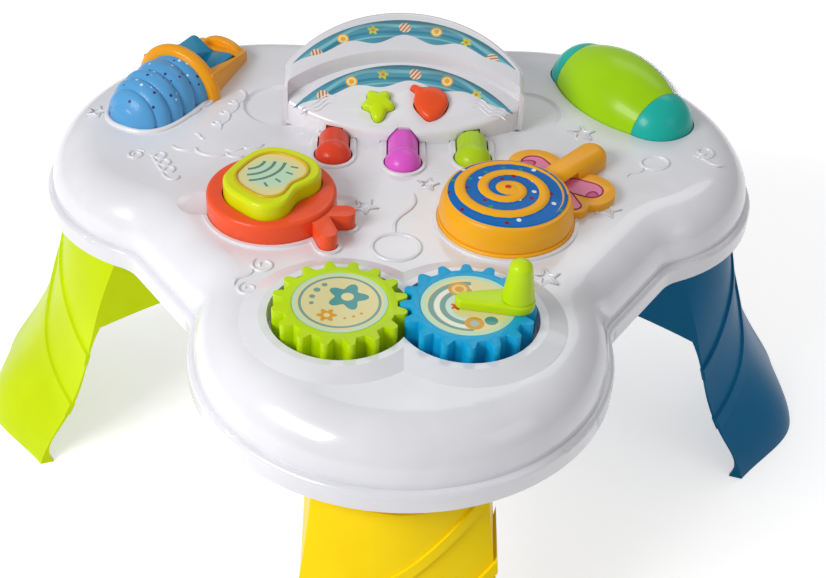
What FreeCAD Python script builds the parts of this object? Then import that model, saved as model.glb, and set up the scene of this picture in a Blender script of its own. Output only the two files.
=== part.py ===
import FreeCAD, Part
import math
import os

# Baby activity table: a three-lobed hollow top on three plug-in legs, with
# gears, keys, push buttons, rollers, a spinner and a rocker on its deck.
# Millimetres, floor at Z = 0, front of the table towards -Y.

os.makedirs("parts", exist_ok=True)
V = FreeCAD.Vector
Z = V(0, 0, 1)
doc = FreeCAD.newDocument("ActivityTable")

# Driving sizes

SIZES = {
    # Whole table and its shell
    "leg_height": 150,
    "top_height": 42,
    "shell_wall": 2.5,
    "lip_height": 12,
    "lip_step": 4,
    "lip_round": 3,
    "edge_round": 26,
    # Outline of the top
    "front_lobe_radius": 118.5,
    "front_lobe_ahead": 65.4,
    "side_lobe_radius": 97,
    "side_lobe_side": 128,
    "side_lobe_behind": 101.9,
    "back_corner_radius": 141,
    "flank_front_inset": 6.8,
    "flank_front_step": 4.9,
    "flank_back_step": 38,
    "flank_back_ahead": 84.3,
    "flank_round": 25,
    # Clearances and the overrun of cuts
    "fit_gap": 0.3,
    "running_gap": 0.05,
    "moving_gap": 0.8,
    "overrun": 5,
    "same_level": 0.0025,
    # Places of the pan's screws
    "front_screw_ahead": 150,
    "flank_screw_side": 100,
    "flank_screw_ahead": 27,
    "back_screw_side": 70,
    "back_screw_behind": 222,
    "lobe_screw_side": 199,
    "lobe_screw_behind": 152,
    # Legs
    "leg_turn": 20,
    "leg_wall": 3,
    "foot_reach": 153.3,
    "foot_half_width": 63,
    "leg_wing_depth": 42,
    "leg_wing_splay": 0.04,
    "leg_plug_inset": 4.5,
    "leg_plug_length": 14,
    "leg_plug_depth": 18,
    "leg_neck_height": 10,
    "rib_height": 1.6,
    "rib_width": 7,
    # Pan, screws and bosses
    "pan_wall": 2.5,
    "pan_inset": 2,
    "screw_radius": 1.5,
    "screw_head_radius": 3,
    "screw_head_height": 2,
    "screw_length": 14,
    "boss_radius": 4.5,
    # Gears and their basin
    "gear_teeth": 16,
    "gear_tip_radius": 36.6,
    "gear_root_radius": 30.8,
    "gear_spacing": 68.4,
    "gear_row_ahead": 82,
    "gear_height": 18,
    "gear_rise": 11,
    "tooth_root_width": 7.4,
    "tooth_tip_width": 4.6,
    "tooth_tip_drop": 1.4,
    "gear_label_radius": 25.6,
    "gear_label_thickness": 0.6,
    "gear_bore_radius": 5,
    "basin_radius": 39,
    "basin_depth": 9,
    "plateau_radius": 54,
    "plateau_rim": 43.5,
    "plateau_rise": 3.5,
    # Crank and knob
    "crank_reach": 26,
    "crank_thickness": 6,
    "crank_small_radius": 4.5,
    "crank_big_radius": 9.4,
    "crank_setback": 3,
    "crank_round": 1.8,
    "knob_pin_length": 14.4,
    "knob_dome_height": 5.4,
    "knob_height": 24,
    "knob_base_radius": 8.8,
    "knob_top_radius": 6.4,
    "knob_pin_radius": 2.5,
    # Music station
    "station_half_width": 73,
    "station_front_behind": 93.3,
    "station_front_radius": 136,
    "station_arch_radius": 112,
    "station_arch_behind": 146,
    "station_side_behind": 135,
    "station_back_behind": 182,
    "station_face_rise": 8,
    "station_face_slope": 0.4,
    "station_upper_rise": 20.5,
    "station_upper_slope": 0.33,
    "station_wall": 3,
    "station_round": 5,
    "station_front_round": 4,
    "cavity_setback": 6.2,
    "window_behind": 126.5,
    "window_length": 109,
    "window_depth": 39,
    "dish_radius": 26,
    "dish_side": 78,
    "dish_behind": 137.5,
    "dish_depth": 1.8,
    # Printed bands
    "band_thickness": 0.5,
    "band_margin": 6.5,
    "band_waves": 6,
    "upper_band_width": 11.3,
    "lower_band_width": 12,
    "lower_band_margin": 5.2,
    # Keys
    "key_spacing": 43.2,
    "key_rear_radius": 9.6,
    "key_bulb_radius": 11.4,
    "key_bulb_height": 10.5,
    "key_outer_front_behind": 66,
    "key_middle_front_behind": 59.2,
    "key_tail_width": 9,
    "key_pivot_behind": 118,
    "key_pivot_rise": 3,
    "key_pin_radius": 1.5,
    "key_skirt": 7,
    "collar_width": 2,
    "collar_rise": 1.6,
    "collar_round": 0.9,
    # Push buttons of the station
    "star_side": 16,
    "star_setback": 20.7,
    "star_width": 21,
    "star_length": 28,
    "balloon_side": 17,
    "balloon_setback": 22.7,
    "balloon_radius": 11.5,
    "button_rise": 4,
    "button_round": 2,
    "button_skirt": 4,
    "button_stem_radius": 5.5,
    "button_travel": 2,
    "button_stem_reach": 4,
    "pad_thickness": 1,
    # Apple
    "apple_side": 77,
    "apple_behind": 19,
    "apple_radius": 38,
    "apple_base_height": 14,
    "apple_button_width": 56,
    "apple_button_height": 10,
    "apple_travel": 4,
    "apple_well_depth": 9,
    "apple_stem_width": 11,
    "apple_well_radius": 16.8,
    "apple_stem_radius": 11.3,
    "apple_pad_radius": 7.5,
    "apple_finger_height": 11.2,
    "apple_base_round": 2.5,
    "apple_tray_floor": 4.9,
    "apple_button_round": 3,
    "scoop_depth": 4,
    "scoop_radius": 16,
    "scoop_behind": 3.8,
    "left_scoop_offset": 44,
    "right_scoop_offset": 41.8,
    "apple_label_share": 0.72,
    "label_thickness": 0.5,
    # Lollipop
    "lolly_side": 60,
    "lolly_behind": 14,
    "lolly_base_radius": 40.5,
    "lolly_ring_height": 3,
    "rim_width": 2.4,
    "rim_rise": 1.4,
    "lolly_top_radius": 36.5,
    "lolly_rise": 18,
    "lolly_inlay_radius": 33,
    "lolly_spiral_width": 5,
    "lolly_spiral_rise": 1,
    "lolly_spiral_pitch": 10.5,
    "lolly_boss_radius": 9,
    "lolly_shaft_radius": 6,
    "stick_width": 20,
    "stick_length": 53,
    "stick_height": 13,
    "stick_turn": 48,
    "stick_round": 7.8,
    "bow_knot_out": 7,
    "lolly_ring_round": 1.2,
    "lolly_shaft_height": 10.8,
    "wing_radius": 17,
    "wing_height": 5,
    # Candy roller
    "roller_side": 145,
    "roller_behind": 158.5,
    "roller_turn": 56,
    "roller_drop": 3,
    "roller_length": 116,
    "roller_mid_radius": 33,
    "roller_end_radius": 24.5,
    "roller_cap_length": 20,
    "roller_wall": 2,
    "axle_radius": 2,
    "cradle_wall": 3,
    "bead_radius": 4,
    "bead_spread": 20,
    "window_tilt": 22,
    # Ice cream
    "cone_side": 147,
    "cone_behind": 156,
    "cone_turn": 61.8,
    "swirl_length": 55,
    "swirl_base_radius": 26.5,
    "swirl_bulge": 1.6,
    "ring_radius": 30,
    "ring_width": 9,
    "ring_rise": 28,
    "cone_ring_round": 2.5,
    "cone_start_half_width": 27,
    "cone_tip_length": 7.2,
    "pin_seat": 1.6,
    "cone_length": 54,
    "cone_end_half_width": 18,
    "cone_frame_rise": 17,
    "cone_tip_rise": 6,
    "cone_wall": 4,
    "rocker_half_width": 18,
    "rocker_length": 32,
    "rocker_thickness": 3,
    "rocker_pitch": 22,
    "rocker_swing": 24,
    "rocker_pin_radius": 1.6,
    # Inside the pan
    "board_length": 100,
    "board_depth": 44,
    "board_thickness": 1.6,
    "board_behind": 150,
    "board_rise": 22,
    "post_radius": 3,
    "speaker_radius": 25,
    "speaker_height": 12,
    "magnet_radius": 13.7,
    "speaker_behind": 5,
    "grille_hole_radius": 1.6,
    "battery_radius": 7.2,
    "battery_length": 50,
    "battery_nub_radius": 2.7,
    "contact_width": 11.5,
    "battery_behind": 74,
    "bay_lap": 9,
    "contact_thickness": 0.5,
    "door_lap": 3,
    "door_wall": 2,
    "door_screw_length": 9,
    "switch_side": 52,
    "switch_behind": 0,
    "switch_travel": 5,
    "switch_width": 5,
    "switch_height": 3,
}

sheet = doc.addObject("Spreadsheet::Sheet", "Sizes")
for row, (alias, value) in enumerate(SIZES.items(), start=1):
    sheet.set("A%d" % row, alias)
    sheet.set("B%d" % row, str(value))
    sheet.setAlias("B%d" % row, alias)
doc.recompute()


def size(alias):
    return float(sheet.get(alias))


NODES = []


def node(name, shape):
    """A sub-part whose solid is set by code that reads the sheet."""
    feature = doc.addObject("Part::Feature", name)
    feature.Label = name
    feature.Shape = shape
    feature.Placement = shape.Placement
    NODES.append(feature)
    return feature


def keep(feature, name):
    """Marks a parametric document object as a sub-part."""
    feature.Label = name
    NODES.append(feature)
    return feature


# Shared levels and the frame

wall = size("shell_wall")
gap = size("fit_gap")
over = size("overrun")
moving_gap = size("moving_gap")
leg_height = size("leg_height")
deck = leg_height + size("top_height")
front_shift = size("front_lobe_radius") - size("side_lobe_radius")
front_reach = size("front_lobe_ahead") + size("foot_reach") + front_shift
back_reach = size("side_lobe_behind") + size("back_corner_radius")
origin_y = (front_reach - back_reach) / 2


def at(side, behind, level=0.0):
    """A point from a distance to the side and a distance behind the layout line."""
    return V(side, behind + origin_y, level)


def face_of(edges):
    return Part.Face(Part.Wire(edges))


def polygon(points):
    return Part.makePolygon(points + [points[0]])


def prism(face, low, high):
    moved = face.copy()
    moved.translate(V(0, 0, low - face.BoundBox.ZMin))
    return moved.extrude(V(0, 0, high - low))


def disc(centre, radius):
    circle = Part.Circle(V(centre.x, centre.y, 0), Z, radius)
    return Part.Face(Part.Wire([circle.toShape()]))


def rod(centre, radius, low, high):
    return Part.makeCylinder(radius, high - low, V(centre.x, centre.y, low))


def box(centre, length, depth, low, high):
    return Part.makeBox(length, depth, high - low, V(centre.x - length / 2, centre.y - depth / 2, low))


def spline(points, closed=False):
    curve = Part.BSplineCurve()
    curve.interpolate(points, PeriodicFlag=closed)
    return curve.toShape()


def turned(shape, angle, centre=V(0, 0, 0)):
    result = shape.copy()
    result.rotate(centre, Z, angle)
    return result


def moved(shape, offset):
    result = shape.copy()
    result.translate(offset)
    return result


def slot_face(start, end, width):
    """Flat shape with two round ends."""
    along = (end - start).normalize()
    across = V(-along.y, along.x, 0) * (width / 2)
    tip = along * (width / 2)
    return face_of([
        Part.LineSegment(start + across, end + across).toShape(),
        Part.Arc(end + across, end + tip, end - across).toShape(),
        Part.LineSegment(end - across, start - across).toShape(),
        Part.Arc(start - across, start - tip, start + across).toShape(),
    ])


# how far in and how far down the rolled edge of a button lies, in shares of its size
CAP_ROLL_SHARES = ((0.0, 1.0), (0.12, 0.5), (0.45, 0.12), (1.0, 0.0))


def soft_cap(outline, low, high, soft):
    """Column over a grown outline whose top edge is rolled in."""
    column = moved(outline(0), V(0, 0, low)).extrude(V(0, 0, high - low - soft))
    wires = []
    for in_share, down_share in CAP_ROLL_SHARES:
        wires.append(moved(outline(-soft * in_share), V(0, 0, high - soft * down_share)).OuterWire)
    return column.fuse(Part.makeLoft(wires, True, False))


def edges_at(shape, level):
    """Edges that lie flat at one height."""
    flat = size("same_level")
    return [e for e in shape.Edges
            if abs(e.BoundBox.ZMin - level) < flat and abs(e.BoundBox.ZMax - level) < flat]


# Outline of the top: one large front lobe, two side lobes whose back corners
# are wider arcs, a straight back edge and straight flanks with blended ends.

front_centre = at(0, -size("front_lobe_ahead"))
side_centre = at(size("side_lobe_side"), size("side_lobe_behind"))
corner_radius = size("back_corner_radius")
corner_x = side_centre.x + size("side_lobe_radius") - corner_radius
back_y = side_centre.y + corner_radius
side_x = side_centre.x + size("side_lobe_radius")
diagonal = corner_radius * math.sqrt(0.5)
back_face = face_of([
    Part.Arc(V(side_x, side_centre.y, 0), V(corner_x + diagonal, side_centre.y + diagonal, 0),
             V(corner_x, back_y, 0)).toShape(),
    Part.LineSegment(V(corner_x, back_y, 0), V(-corner_x, back_y, 0)).toShape(),
    Part.Arc(V(-corner_x, back_y, 0), V(-corner_x - diagonal, side_centre.y + diagonal, 0),
             V(-side_x, side_centre.y, 0)).toShape(),
    Part.LineSegment(V(-side_x, side_centre.y, 0), V(side_x, side_centre.y, 0)).toShape(),
])
flank_front = front_centre + V(size("front_lobe_radius") - size("flank_front_inset"),
                               size("flank_front_step"), 0)
flank_back = side_centre + V(size("flank_back_step"), -size("flank_back_ahead"), 0)
flank_face = Part.Face(polygon([
    V(-flank_front.x, flank_front.y, 0), flank_front, flank_back, V(flank_back.x, side_centre.y, 0),
    V(-flank_back.x, side_centre.y, 0), V(-flank_back.x, flank_back.y, 0)]))
blank = disc(front_centre, size("front_lobe_radius")).extrude(Z * wall)
for piece_face in (back_face, flank_face, disc(side_centre, size("side_lobe_radius")),
                   disc(V(-side_centre.x, side_centre.y, 0), size("side_lobe_radius"))):
    blank = blank.fuse(piece_face.extrude(Z * wall))
blank = blank.removeSplitter()
inner_corners = [e for e in blank.Edges
                 if abs(e.Vertexes[0].Point.z - e.Vertexes[-1].Point.z) > wall / 2
                 and flank_front.y - flank_back.x < e.Vertexes[0].Point.y < (flank_back.y + side_centre.y) / 2
                 and abs(e.Vertexes[0].Point.x) > flank_front.x / 2]
blank = blank.makeFillet(size("flank_round"), inner_corners)
lip_face = Part.Face(Part.Wire(Part.sortEdges(edges_at(blank, 0))[0]))


def inset_face(inset):
    return lip_face.makeOffset2D(-inset) if inset else lip_face


# Leg: an open channel, the same moulding three times. Its outer plate is
# crowned, leans outwards and widens to the foot; wings close its top corners.

# height share, apex share and edge share of the foot's reach, half width share
LEG_STATION_SHARES = [
    (0.0, 1.0, 0.855, 1.0),
    (0.165, 0.905, 0.763, 0.955),
    (0.355, 0.760, 0.652, 0.90),
    (0.533, 0.672, 0.587, 0.845),
    (0.70, 0.622, 0.532, 0.79),
    (0.933, 0.580, 0.431, 0.73),
]
CROWN_SHARES = (0.60, 0.62, 0.65, 0.68, 0.70, 0.74)
leg_wall = size("leg_wall")
reach = size("foot_reach")
half_width = size("foot_half_width")
wing_depth = size("leg_wing_depth")
splay = size("leg_wing_splay")


def leg_section(level, apex, edge, half, crown, inset, back):
    """Closed section: crowned outer face, two splayed wings and a flat back."""
    apex = apex - inset
    edge_in = edge - inset
    half = half - inset
    rise = apex - edge_in
    outer = spline([V(edge_in, -half, level), V(edge_in + crown * rise, -half / 2, level), V(apex, 0, level),
                    V(edge_in + crown * rise, half / 2, level), V(edge_in, half, level)])
    depth = edge_in - back
    wide = half + depth * splay
    return Part.Wire([
        outer,
        Part.LineSegment(V(edge_in, half, level), V(back, wide, level)).toShape(),
        Part.LineSegment(V(back, wide, level), V(back, -wide, level)).toShape(),
        Part.LineSegment(V(back, -wide, level), V(edge_in, -half, level)).toShape(),
    ])


neck_apex = LEG_STATION_SHARES[-1][1] * reach
neck_edge = LEG_STATION_SHARES[-1][2] * reach
neck_half = LEG_STATION_SHARES[-1][3] * half_width
wing_back = neck_edge - wing_depth


def leg_loft(inset, extra_back):
    wires = []
    for (height_share, apex_share, edge_share, half_share), crown in zip(LEG_STATION_SHARES, CROWN_SHARES):
        wires.append(leg_section(height_share * leg_height, apex_share * reach, edge_share * reach,
                                 half_share * half_width, crown, inset, wing_back - extra_back))
    return Part.makeLoft(wires, True, False)


def plug_solid(inset, low, high, extra_back):
    wire = leg_section(low, neck_apex, neck_edge, neck_half, CROWN_SHARES[-1],
                       size("leg_plug_inset") + inset, wing_back - extra_back)
    return Part.Face(wire).extrude(V(0, 0, high - low))


def rib_band(level_shares):
    """Sweeping band across the outer plate, from one edge up to the other."""
    low = []
    for side_share, level_share in level_shares:
        low.append(V(0, side_share * half_width, level_share * leg_height))
    high = [point + V(0, 0, size("rib_width")) for point in low]
    edges = [spline(low), Part.LineSegment(low[-1], high[-1]).toShape(),
             spline(list(reversed(high))), Part.LineSegment(high[0], low[0]).toShape()]
    return face_of(edges).extrude(V(reach + wing_depth, 0, 0))


# side share of the foot's half width, height share, from the low to the high end
RIB_SHARES = (
    ((-1.3, 0.44), (-0.8, 0.47), (-0.3, 0.57), (0.1, 0.68), (0.45, 0.80), (0.75, 0.895)),
    ((-1.3, 0.21), (-0.85, 0.245), (-0.3, 0.33), (0.1, 0.42), (0.5, 0.53), (0.9, 0.66)),
)
leg_outer = leg_loft(0, 0)
leg_larger = leg_loft(-size("rib_height"), 0)
leg_top = leg_height + size("leg_plug_length")
neck_level = LEG_STATION_SHARES[-1][0] * leg_height
plug_back = neck_edge - size("leg_plug_inset") - size("leg_plug_depth")
pan_low = leg_height + size("pan_inset")
seat_level = pan_low - gap
collar_part = plug_solid(0, neck_level - leg_wall, seat_level, 0)
plug = plug_solid(0, neck_level - leg_wall, leg_top, wing_back - plug_back)
leg_blank = leg_outer.fuse([collar_part, plug])
for level_shares in RIB_SHARES:
    leg_blank = leg_blank.fuse(leg_larger.common(rib_band(level_shares)))
shelf_level = neck_level - leg_wall
hollow_low = leg_loft(leg_wall, over).common(
    Part.makeBox(4 * reach, 4 * reach, shelf_level + over, V(-2 * reach, -2 * reach, -over)))
leg_blank = leg_blank.cut(hollow_low).cut(plug_solid(leg_wall, shelf_level - over, leg_top + over, over))
# the wings end in an arch and leave only the plate's own edge below it:
# reach share and height share along the arch, then down the edge to the foot
ARCH_START_SHARE = 0.73
ARCH_SHARES = ((0.290, 0.69), (0.543, 0.62))
EDGE_SHARES = ((0.587, 0.533), (0.652, 0.355), (0.763, 0.165), (0.82, 0.07), (0.81, 0.0))
edge_trim = leg_wall / 2
arch_start = wing_back - 2 * over
arch_points = [V(arch_start, 0, ARCH_START_SHARE * leg_height)]
for reach_share, height_share in ARCH_SHARES:
    arch_points.append(V(reach_share * reach - edge_trim, 0, height_share * leg_height))
edge_points = [arch_points[-1]]
for reach_share, height_share in EDGE_SHARES:
    edge_points.append(V(reach_share * reach - edge_trim, 0, height_share * leg_height))
arch_cut = face_of([
    spline(arch_points),
    spline(edge_points),
    Part.LineSegment(edge_points[-1], edge_points[-1] - V(0, 0, over)).toShape(),
    Part.LineSegment(edge_points[-1] - V(0, 0, over), V(arch_start, 0, -over)).toShape(),
    Part.LineSegment(V(arch_start, 0, -over), arch_points[0]).toShape(),
])
wide = half_width + wing_depth
arch_cut.translate(V(0, -wide, 0))
leg_solid = leg_blank.cut(arch_cut.extrude(V(0, 2 * wide, 0))).removeSplitter()
mirrored_leg = leg_solid.mirror(V(0, 0, 0), V(0, 1, 0))

LEGS = [
    ("leg_front", V(front_centre.x, front_centre.y - front_shift, 0), -90.0),
    ("leg_right", side_centre, -size("leg_turn")),
    ("leg_left", V(-side_centre.x, side_centre.y, 0), 180.0 + size("leg_turn")),
]
for leg_name, foot_centre, turn in LEGS:
    moulding = mirrored_leg if leg_name == "leg_left" else leg_solid
    node(leg_name, moved(turned(moulding, turn), foot_centre))

# Top shell

body_inset = size("lip_step")
edge_round = size("edge_round")
body = prism(inset_face(body_inset), leg_height, deck)
body = body.makeFillet(edge_round, edges_at(body, deck))
lip = prism(lip_face, leg_height, leg_height + size("lip_height"))
lip = lip.makeFillet(size("lip_round"), edges_at(lip, leg_height + size("lip_height")))
hollow = prism(inset_face(body_inset + wall), leg_height - over, deck - wall)
hollow = hollow.makeFillet(edge_round - wall, edges_at(hollow, deck - wall))
lip_hollow = prism(inset_face(wall), leg_height - over, leg_height + size("lip_height") - wall)
solid_top = body.fuse(lip)

gear_z0 = deck + size("gear_rise") - size("gear_height")
basin_floor = deck - size("basin_depth")
gear_centres = [at(-size("gear_spacing") / 2, -size("gear_row_ahead")),
                at(size("gear_spacing") / 2, -size("gear_row_ahead"))]
plateau_top = deck + size("plateau_rise")
plateau = None
for centre in gear_centres:
    flare_base = V(centre.x, centre.y, deck)
    flare = Part.makeCone(size("plateau_radius"), size("plateau_rim"), size("plateau_rise"), flare_base)
    flare = flare.fuse(rod(centre, size("plateau_radius"), deck - wall / 2, deck))
    plateau = flare if plateau is None else plateau.fuse(flare)
shell = solid_top.fuse(plateau).cut(hollow).cut(lip_hollow)
cups = []
for centre in gear_centres:
    cups.append(rod(centre, size("basin_radius") + wall, basin_floor - wall,
                    plateau_top - size("plateau_rise")))
well_floor = deck - size("apple_well_depth")
apple_centre = at(-size("apple_side"), size("apple_behind"))
button_scale = size("apple_button_width")
well_radius = size("apple_well_radius")
cups.append(rod(apple_centre, well_radius + wall, well_floor - wall, deck - wall / 2))
shell = shell.fuse(cups)
for centre in gear_centres:
    shell = shell.cut(rod(centre, size("basin_radius"), basin_floor, plateau_top + over))
shell = shell.cut(rod(apple_centre, well_radius, well_floor, deck + over))

# bosses for the screws that hold the pan
pan_high = pan_low + size("pan_wall")
BOSS_PLACES = [at(0, -size("front_screw_ahead"))]
for sign in (-1, 1):
    BOSS_PLACES.append(at(sign * size("flank_screw_side"), -size("flank_screw_ahead")))
    BOSS_PLACES.append(at(sign * size("back_screw_side"), size("back_screw_behind")))
    BOSS_PLACES.append(at(sign * size("lobe_screw_side"), size("lobe_screw_behind")))
for place in BOSS_PLACES:
    boss = rod(place, size("boss_radius"), pan_high, deck - wall / 2).common(solid_top)
    shell = shell.fuse(boss)
    shell = shell.cut(rod(place, size("screw_radius"), pan_high - over,
                          pan_low + size("screw_length") + over))

# round gear posts stand on the basin floors
for centre in gear_centres:
    shell = shell.fuse(rod(centre, size("gear_bore_radius") - size("running_gap"),
                           basin_floor - wall, gear_z0 + size("gear_height") - 2 * wall))

# Keys and their openings in the deck

key_places = [("key_left", -size("key_spacing"), size("key_outer_front_behind")),
              ("key_middle", 0.0, size("key_middle_front_behind")),
              ("key_right", size("key_spacing"), size("key_outer_front_behind"))]
pivot_z = deck + size("key_pivot_rise")
pivot_y = at(0, size("key_pivot_behind")).y
bulb_radius = size("key_bulb_radius")
rear_radius = size("key_rear_radius")


def key_solid(side, front, grow):
    """Half-round rear, wider domed bulb in front, and a skirt below the deck."""
    bulb_y = at(0, front).y + bulb_radius
    rear_y = at(0, size("station_front_behind")).y + size("station_wall")
    low = deck - size("key_skirt") - grow
    rear = Part.makeCylinder(rear_radius + grow, rear_y + 2 * grow - bulb_y, V(side, bulb_y, deck),
                             V(0, 1, 0))
    skirt = box(V(side, (bulb_y + rear_y) / 2, 0), 2 * (rear_radius + grow), rear_y - bulb_y + 2 * grow, low,
                deck)
    bulb = Part.makeSphere(bulb_radius + grow)
    squash = FreeCAD.Matrix()
    squash.scale(1, 1, (size("key_bulb_height") + grow) / (bulb_radius + grow))
    bulb = bulb.transformGeometry(squash)
    bulb.translate(V(side, bulb_y, deck))
    bulb_skirt = rod(V(side, bulb_y, 0), bulb_radius + grow, low, deck)
    above = box(V(side, bulb_y, 0), 8 * bulb_radius, 8 * bulb_radius, low, deck + 4 * bulb_radius)
    return rear.fuse([skirt, bulb, bulb_skirt]).common(above).removeSplitter()


key_shapes = {}
collar_rooms = []
for key_name, side, front in key_places:
    shape = key_solid(side, front, 0)
    tail_low = deck - size("key_skirt") / 2
    tail_start = at(0, size("station_front_behind")).y
    tail = box(V(side, (tail_start + pivot_y) / 2, 0), size("key_tail_width"), pivot_y - tail_start,
               tail_low, pivot_z + 2 * size("key_pin_radius"))
    barrel = Part.makeCylinder(2 * size("key_pin_radius"), size("key_tail_width"),
                               V(side - size("key_tail_width") / 2, pivot_y, pivot_z), V(1, 0, 0))
    bore = Part.makeCylinder(size("key_pin_radius") + size("running_gap"), size("key_tail_width") + 2 * over,
                             V(side - size("key_tail_width") / 2 - over, pivot_y, pivot_z), V(1, 0, 0))
    shape = shape.fuse([tail, barrel]).cut(bore).removeSplitter()
    key_shapes[key_name] = shape
    opening = key_solid(side, front, moving_gap)
    collar_face = slot_face(V(side, at(0, front).y + bulb_radius, 0),
                            V(side, at(0, size("station_front_behind")).y, 0),
                            2 * (bulb_radius + moving_gap + size("collar_width")))
    collar_rooms.append(prism(
        slot_face(V(side, at(0, front).y + bulb_radius, 0), V(side, at(0, size("station_front_behind")).y, 0),
                  2 * (bulb_radius + moving_gap + size("collar_width") + gap)),
        deck - over, deck + size("collar_rise") + gap))
    collar = prism(collar_face, deck - wall, deck + size("collar_rise"))
    collar = collar.makeFillet(size("collar_round"), edges_at(collar, deck + size("collar_rise")))
    shell = shell.fuse(collar).cut(opening)
    node(key_name, shape)

# Music station: a two-step arched housing behind the keys

half = size("station_half_width")
front_y = at(0, size("station_front_behind")).y


def arc_y(radius, x):
    return radius - math.sqrt(radius * radius - x * x)


def lower_outline(inset):
    """Front arc bulges to the keys, back arch bulges away from them."""
    w = half - inset
    f = front_y + inset
    a = at(0, size("station_arch_behind")).y - inset
    front_end = f + arc_y(size("station_front_radius"), w)
    arch_end = a - arc_y(size("station_arch_radius"), w)
    edges = [Part.Arc(V(-w, front_end, 0), V(0, f, 0), V(w, front_end, 0)).toShape()]
    if arch_end - front_end > wall / 10:
        edges.append(Part.LineSegment(V(w, front_end, 0), V(w, arch_end, 0)).toShape())
    edges.append(Part.Arc(V(w, arch_end, 0), V(0, a, 0), V(-w, arch_end, 0)).toShape())
    if arch_end - front_end > wall / 10:
        edges.append(Part.LineSegment(V(-w, arch_end, 0), V(-w, front_end, 0)).toShape())
    return face_of(edges)


def upper_outline(inset, forward):
    w = half + size("station_wall") - inset
    f = front_y + arc_y(size("station_front_radius"), half) - forward
    side_end = at(0, size("station_side_behind")).y
    b = at(0, size("station_back_behind")).y - inset
    return face_of([
        Part.LineSegment(V(-w, f, 0), V(w, f, 0)).toShape(),
        Part.LineSegment(V(w, f, 0), V(w, side_end, 0)).toShape(),
        Part.Arc(V(w, side_end, 0), V(0, b, 0), V(-w, side_end, 0)).toShape(),
        Part.LineSegment(V(-w, side_end, 0), V(-w, f, 0)).toShape(),
    ])


def above_plane(level_at_front, slope, drop):
    """Everything over a plane that climbs to the back."""
    y0 = front_y - 4 * over
    y1 = at(0, size("station_back_behind")).y + 4 * over
    z0 = level_at_front + slope * (y0 - front_y) - drop
    z1 = level_at_front + slope * (y1 - front_y) - drop
    top = deck + 4 * half
    side = Part.Face(polygon([V(-2 * half, y0, z0), V(-2 * half, y1, z1), V(-2 * half, y1, top),
                              V(-2 * half, y0, top)]))
    return side.extrude(V(4 * half, 0, 0))


lower_level = deck + size("station_face_rise")
upper_level = deck + size("station_upper_rise")
lower_slope = size("station_face_slope")
lower_tier = prism(lower_outline(0), deck, deck + half).cut(above_plane(lower_level, lower_slope, 0))
upper_tier = prism(upper_outline(0, 0), deck, deck + 2 * half).cut(
    above_plane(upper_level, size("station_upper_slope"), 0))


def top_edges(shape, level_at_front, slope):
    found = []
    for edge in shape.Edges:
        inside = True
        for share in (0.1, 0.5, 0.9):
            point = edge.valueAt(edge.FirstParameter + share * (edge.LastParameter - edge.FirstParameter))
            if abs(point.z - (level_at_front + slope * (point.y - front_y))) > wall / 50:
                inside = False
        if inside:
            found.append(edge)
    return found


tier_lap = gap / 3
upper_edges = [e for e in top_edges(upper_tier, upper_level, size("station_upper_slope"))
               if e.BoundBox.YLength > size("station_round")]
upper_tier = upper_tier.makeFillet(size("station_round"), upper_edges)
upper_tier = upper_tier.cut(prism(lower_outline(-tier_lap), deck - over, deck + 3 * half))
front_edges = [e for e in top_edges(lower_tier, lower_level, size("station_face_slope"))
               if e.valueAt((e.FirstParameter + e.LastParameter) / 2).y < (front_y + pivot_y) / 2]
lower_tier = lower_tier.makeFillet(size("station_front_round"), front_edges)
station = lower_tier.fuse(upper_tier.fuse(prism(lower_outline(-tier_lap), deck,
                                                deck + size("station_wall")).common(
    prism(upper_outline(0, 0), deck, deck + size("station_wall")))))
cavity_cap = above_plane(upper_level, size("station_upper_slope"), size("station_wall"))
cavity = prism(upper_outline(size("station_wall"), -size("cavity_setback")), deck - over, deck + 2 * half)
cavity = cavity.cut(cavity_cap).cut(
    prism(lower_outline(-size("station_wall")), deck - 2 * over, deck + 3 * half).common(
        above_plane(lower_level, size("station_face_slope"), size("station_wall"))))
station = station.cut(cavity)
for key_name, side, front in key_places:
    tail_slot = box(V(side, (front_y + pivot_y) / 2 + over, 0), size("key_tail_width") + 2 * moving_gap,
                    pivot_y - front_y + 4 * over, deck - over,
                    pivot_z + 2 * size("key_pin_radius") + 2 * moving_gap)
    station = station.cut(tail_slot).cut(key_solid(side, front, moving_gap))
for collar_room in collar_rooms:
    station = station.cut(collar_room)
shaft_half = size("key_spacing") + size("key_tail_width")
station = station.cut(Part.makeCylinder(size("key_pin_radius") + size("running_gap"), 2 * shaft_half + gap,
                                        V(-shaft_half - gap / 2, pivot_y, pivot_z), V(1, 0, 0)))

key_shaft = doc.addObject("Part::Cylinder", "key_shaft")
key_shaft.setExpression("Radius", "Sizes.key_pin_radius")
key_shaft.setExpression("Height", "2 * (Sizes.key_spacing + Sizes.key_tail_width)")
key_shaft.Placement = FreeCAD.Placement(V(-shaft_half, pivot_y, pivot_z), FreeCAD.Rotation(V(0, 1, 0), 90))
keep(key_shaft, "key_shaft")

# Star and balloon buttons stand square to the sloping face

face_angle = math.degrees(math.atan(size("station_face_slope")))


def face_frame(side, behind):
    y = at(0, behind).y
    level = lower_level + size("station_face_slope") * (y - front_y)
    return FreeCAD.Placement(V(side, y, level), FreeCAD.Rotation(V(1, 0, 0), face_angle))


# body and lobe radii against the star's width, and its longest point's share of the extra length
STAR_BODY_SHARE = 0.43
STAR_LOBE_SHARE = 0.075
STAR_POINT_SHARE = 0.55
BALLOON_SHARES = ((0.0, -1.25), (0.62, -0.85), (0.98, 0.0), (0.72, 0.68), (0.1, 0.98), (-0.55, 0.95),
                  (-0.95, 1.12), (-1.12, 0.90), (-0.86, 0.62), (-0.92, -0.05), (-0.55, -0.85))


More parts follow.
